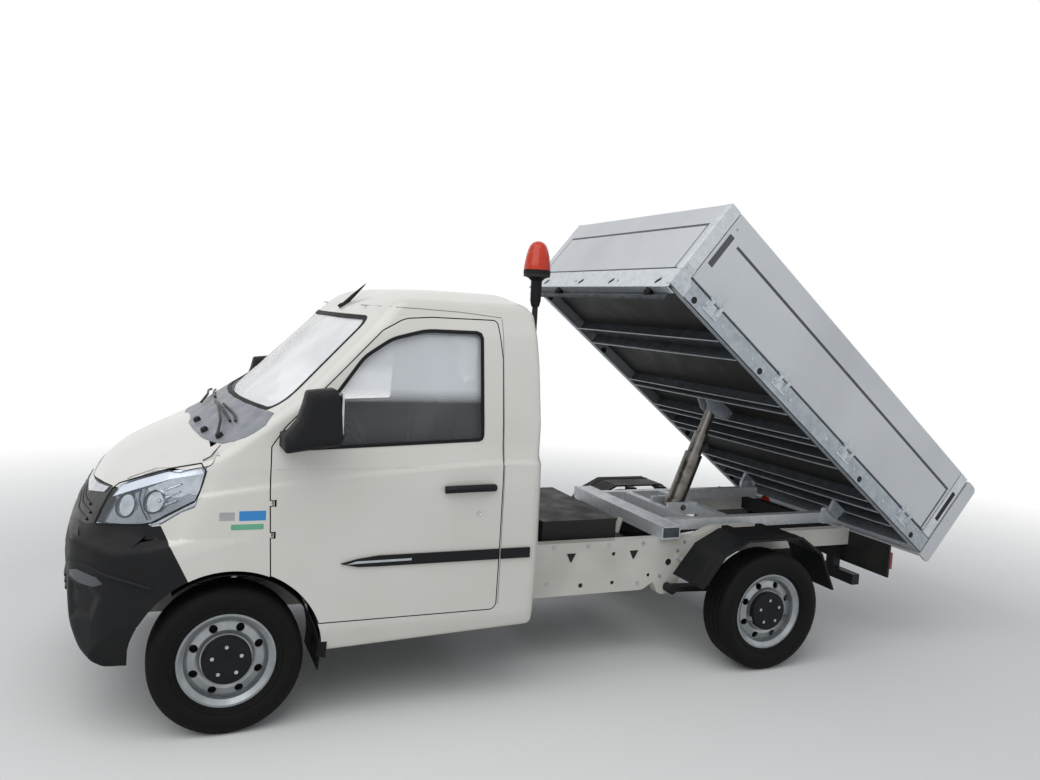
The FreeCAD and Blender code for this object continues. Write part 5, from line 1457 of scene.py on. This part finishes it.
def swell(mesh):
    # voxel skin, pressure from inside, movement capped, one subdivision
    piece = bpy.data.objects.new("cover", mesh)
    bpy.context.scene.collection.objects.link(piece)
    remesh = piece.modifiers.new("skin", "REMESH")
    remesh.mode = "VOXEL"
    remesh.voxel_size = seat["voxel"]
    start = bpy.data.meshes.new_from_object(evaluated(piece))
    piece.modifiers.clear()
    piece.data = start
    before = cornersOf(start)
    cloth = piece.modifiers.new("cover", "CLOTH")
    cloth.settings.quality = seat["quality"]
    cloth.settings.use_pressure = True
    cloth.settings.uniform_pressure_force = seat["pressure"]
    cloth.settings.effector_weights.gravity = 0
    cloth.point_cache.frame_end = seat["frames"]
    for number in range(1, seat["frames"] + 1):
        bpy.context.scene.frame_set(number)
    move = cornersOf(evaluated(piece).data) - before
    size = np.linalg.norm(move, axis=1)[:, None]
    after = before + move * np.minimum(1, seat["cap"] / np.maximum(size, 1e-9))
    piece.modifiers.clear()
    bpy.context.scene.frame_set(1)
    start.vertices.foreach_set("co", after.ravel())
    finer = piece.modifiers.new("finer", "SUBSURF")
    finer.levels = finer.render_levels = 1
    result = bpy.data.meshes.new_from_object(evaluated(piece))
    bpy.data.objects.remove(piece)
    result.polygons.foreach_set("use_smooth", np.ones(len(result.polygons), bool))
    return result


def pipingOn(mesh, box, side):
    # a welt round the middle panel, laid on the cover
    tree = BVHTree.FromPolygons([v.co for v in mesh.vertices], [tuple(p.vertices) for p in mesh.polygons])
    points = []
    for u, v in denser(rectangle(*box), 0.02):
        start, aim = ((u, v, 2.0), (0, 0, -1)) if side == "top" else ((u, -1.5, v), (0, 1, 0))
        hit = tree.ray_cast(Vector(start) + Vector(fromAxle), Vector(aim))[0]
        if hit:
            points.append(tuple(hit))
    return tubeMesh(points, seat["piping"], "wovenPolyester", closed=True, sides=6)


def makeSeats():
    for node, name, box, side in seat["rows"]:
        cover = swell(halfOfNode(node))
        welt = pipingOn(cover, box, side)
        for piece in addPair(name, cover, "wovenPolyester", "chassis", node):
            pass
        addPair(name + "Welt", welt, "wovenPolyester")


makeSeats()
print("seats done")

# what the untouched CAD nodes are made of; a name that ends in _ stands for its left and right node
nodeFinish = {
    "toughenedGlass": "door_glass_ rear_window", "laminatedGlass": "windscreen",
    "cabinPlastic": "dashboard steering_wheel seat_cushions seat_backs", "framePaint": "rail_",
    "chassisEnamel": "seat_boxes frame_cross_members engine_block battery_box rear_axle prop_shaft leaf_springs "
                     "front_suspension knuckle_ rear_underride beacon_pole",
    "galvanisedSteel": "tip_subframe bed_frame", "silverLacquer": "wheel_front_ wheel_rear_",
    "tyreRubber": "tyre_front_ tyre_rear_", "grainedPolypropylene": "mirror_ rear_fender_",
    "redAcrylic": "tail_lamps", "orangeAcrylic": "beacon_dome", "filmPlywood": "bed_floor",
    "anodisedAluminium": "headboard dropside_ tailgate",
    "oiledSteel": "cylinder_barrel cylinder_stage_1 cylinder_stage_2 cylinder_rod",
}
for name, nodes in nodeFinish.items():
    for node in nodes.split():
        for each in ([node + "left", node + "right"] if node.endswith("_") else [node]):
            cad = bpy.data.objects[each].data
            cad.materials.clear()
            cad.materials.append(finish[name])
print("CAD nodes finished")

# sky, the softbox over the left front corner, and a floor that fades into the white around it
light = dict(sky="#e6eaf0", skyStrength=0.62, keyPower=260.0, keySize=7.0, keySpot=(3.2, -3.4, 6.0),
             keyTarget=(0, 0, 0.8), floorColour="#e6e6e4", floorHalf=14.0, fadeStart=3.2, fadeEnd=7.0)


def makeStage():
    scene = bpy.context.scene
    scene.view_settings.view_transform = "Standard"
    world = bpy.data.worlds.new("overcast")
    scene.world = world
    world.use_nodes = True
    tree = world.node_tree
    sky = tree.nodes["Background"]
    feed(tree, sky, {"Color": toLinear(light["sky"]), "Strength": light["skyStrength"]})
    plain = addNode(tree, "ShaderNodeBackground", {"Color": (1, 1, 1, 1), "Strength": 1.0})
    path = addNode(tree, "ShaderNodeLightPath").outputs
    seen = path["Is Camera Ray"]
    for ray in ("Is Transmission Ray", "Is Glossy Ray"):
        seen = addNode(tree, "ShaderNodeMath", {0: seen, 1: path[ray]}, operation="MAXIMUM").outputs[0]
    mixed = addNode(tree, "ShaderNodeMixShader", {0: seen, 1: sky.outputs[0], 2: plain.outputs[0]})
    feed(tree, tree.nodes["World Output"], {"Surface": mixed.outputs[0]})
    mesh = bpy.data.meshes.new("floor")
    half = light["floorHalf"]
    mesh.from_pydata([(-half, -half, 0), (half, -half, 0), (half, half, 0), (-half, half, 0)], [], [(0, 1, 2, 3)])
    floor = bpy.data.objects.new("floor", mesh)
    scene.collection.objects.link(floor)
    material, tree, shader, place = newMaterial("paleFloor")
    feed(tree, shader, {"Base Color": toLinear(light["floorColour"]), "Roughness": 0.9, "Specular IOR Level": 0.1})
    far = addNode(tree, "ShaderNodeVectorMath", {0: place}, operation="LENGTH").outputs["Value"]
    fade = addNode(tree, "ShaderNodeMapRange", {"Value": far, "From Min": light["fadeStart"],
                                                "From Max": light["fadeEnd"]})
    clear = addNode(tree, "ShaderNodeBsdfTransparent")
    faded = addNode(tree, "ShaderNodeMixShader", {0: fade.outputs[0], 1: shader.outputs[0], 2: clear.outputs[0]})
    feed(tree, tree.nodes["Material Output"], {"Surface": faded.outputs[0]})
    mesh.materials.append(material)
    softbox = bpy.data.lights.new("softbox", "AREA")
    softbox.energy = light["keyPower"]
    softbox.size = light["keySize"]
    key = bpy.data.objects.new("softbox", softbox)
    scene.collection.objects.link(key)
    key.location = light["keySpot"]
    key.rotation_euler = (Vector(light["keyTarget"]) - key.location).to_track_quat("-Z", "Y").to_euler()


makeStage()
print("stage and lights done")
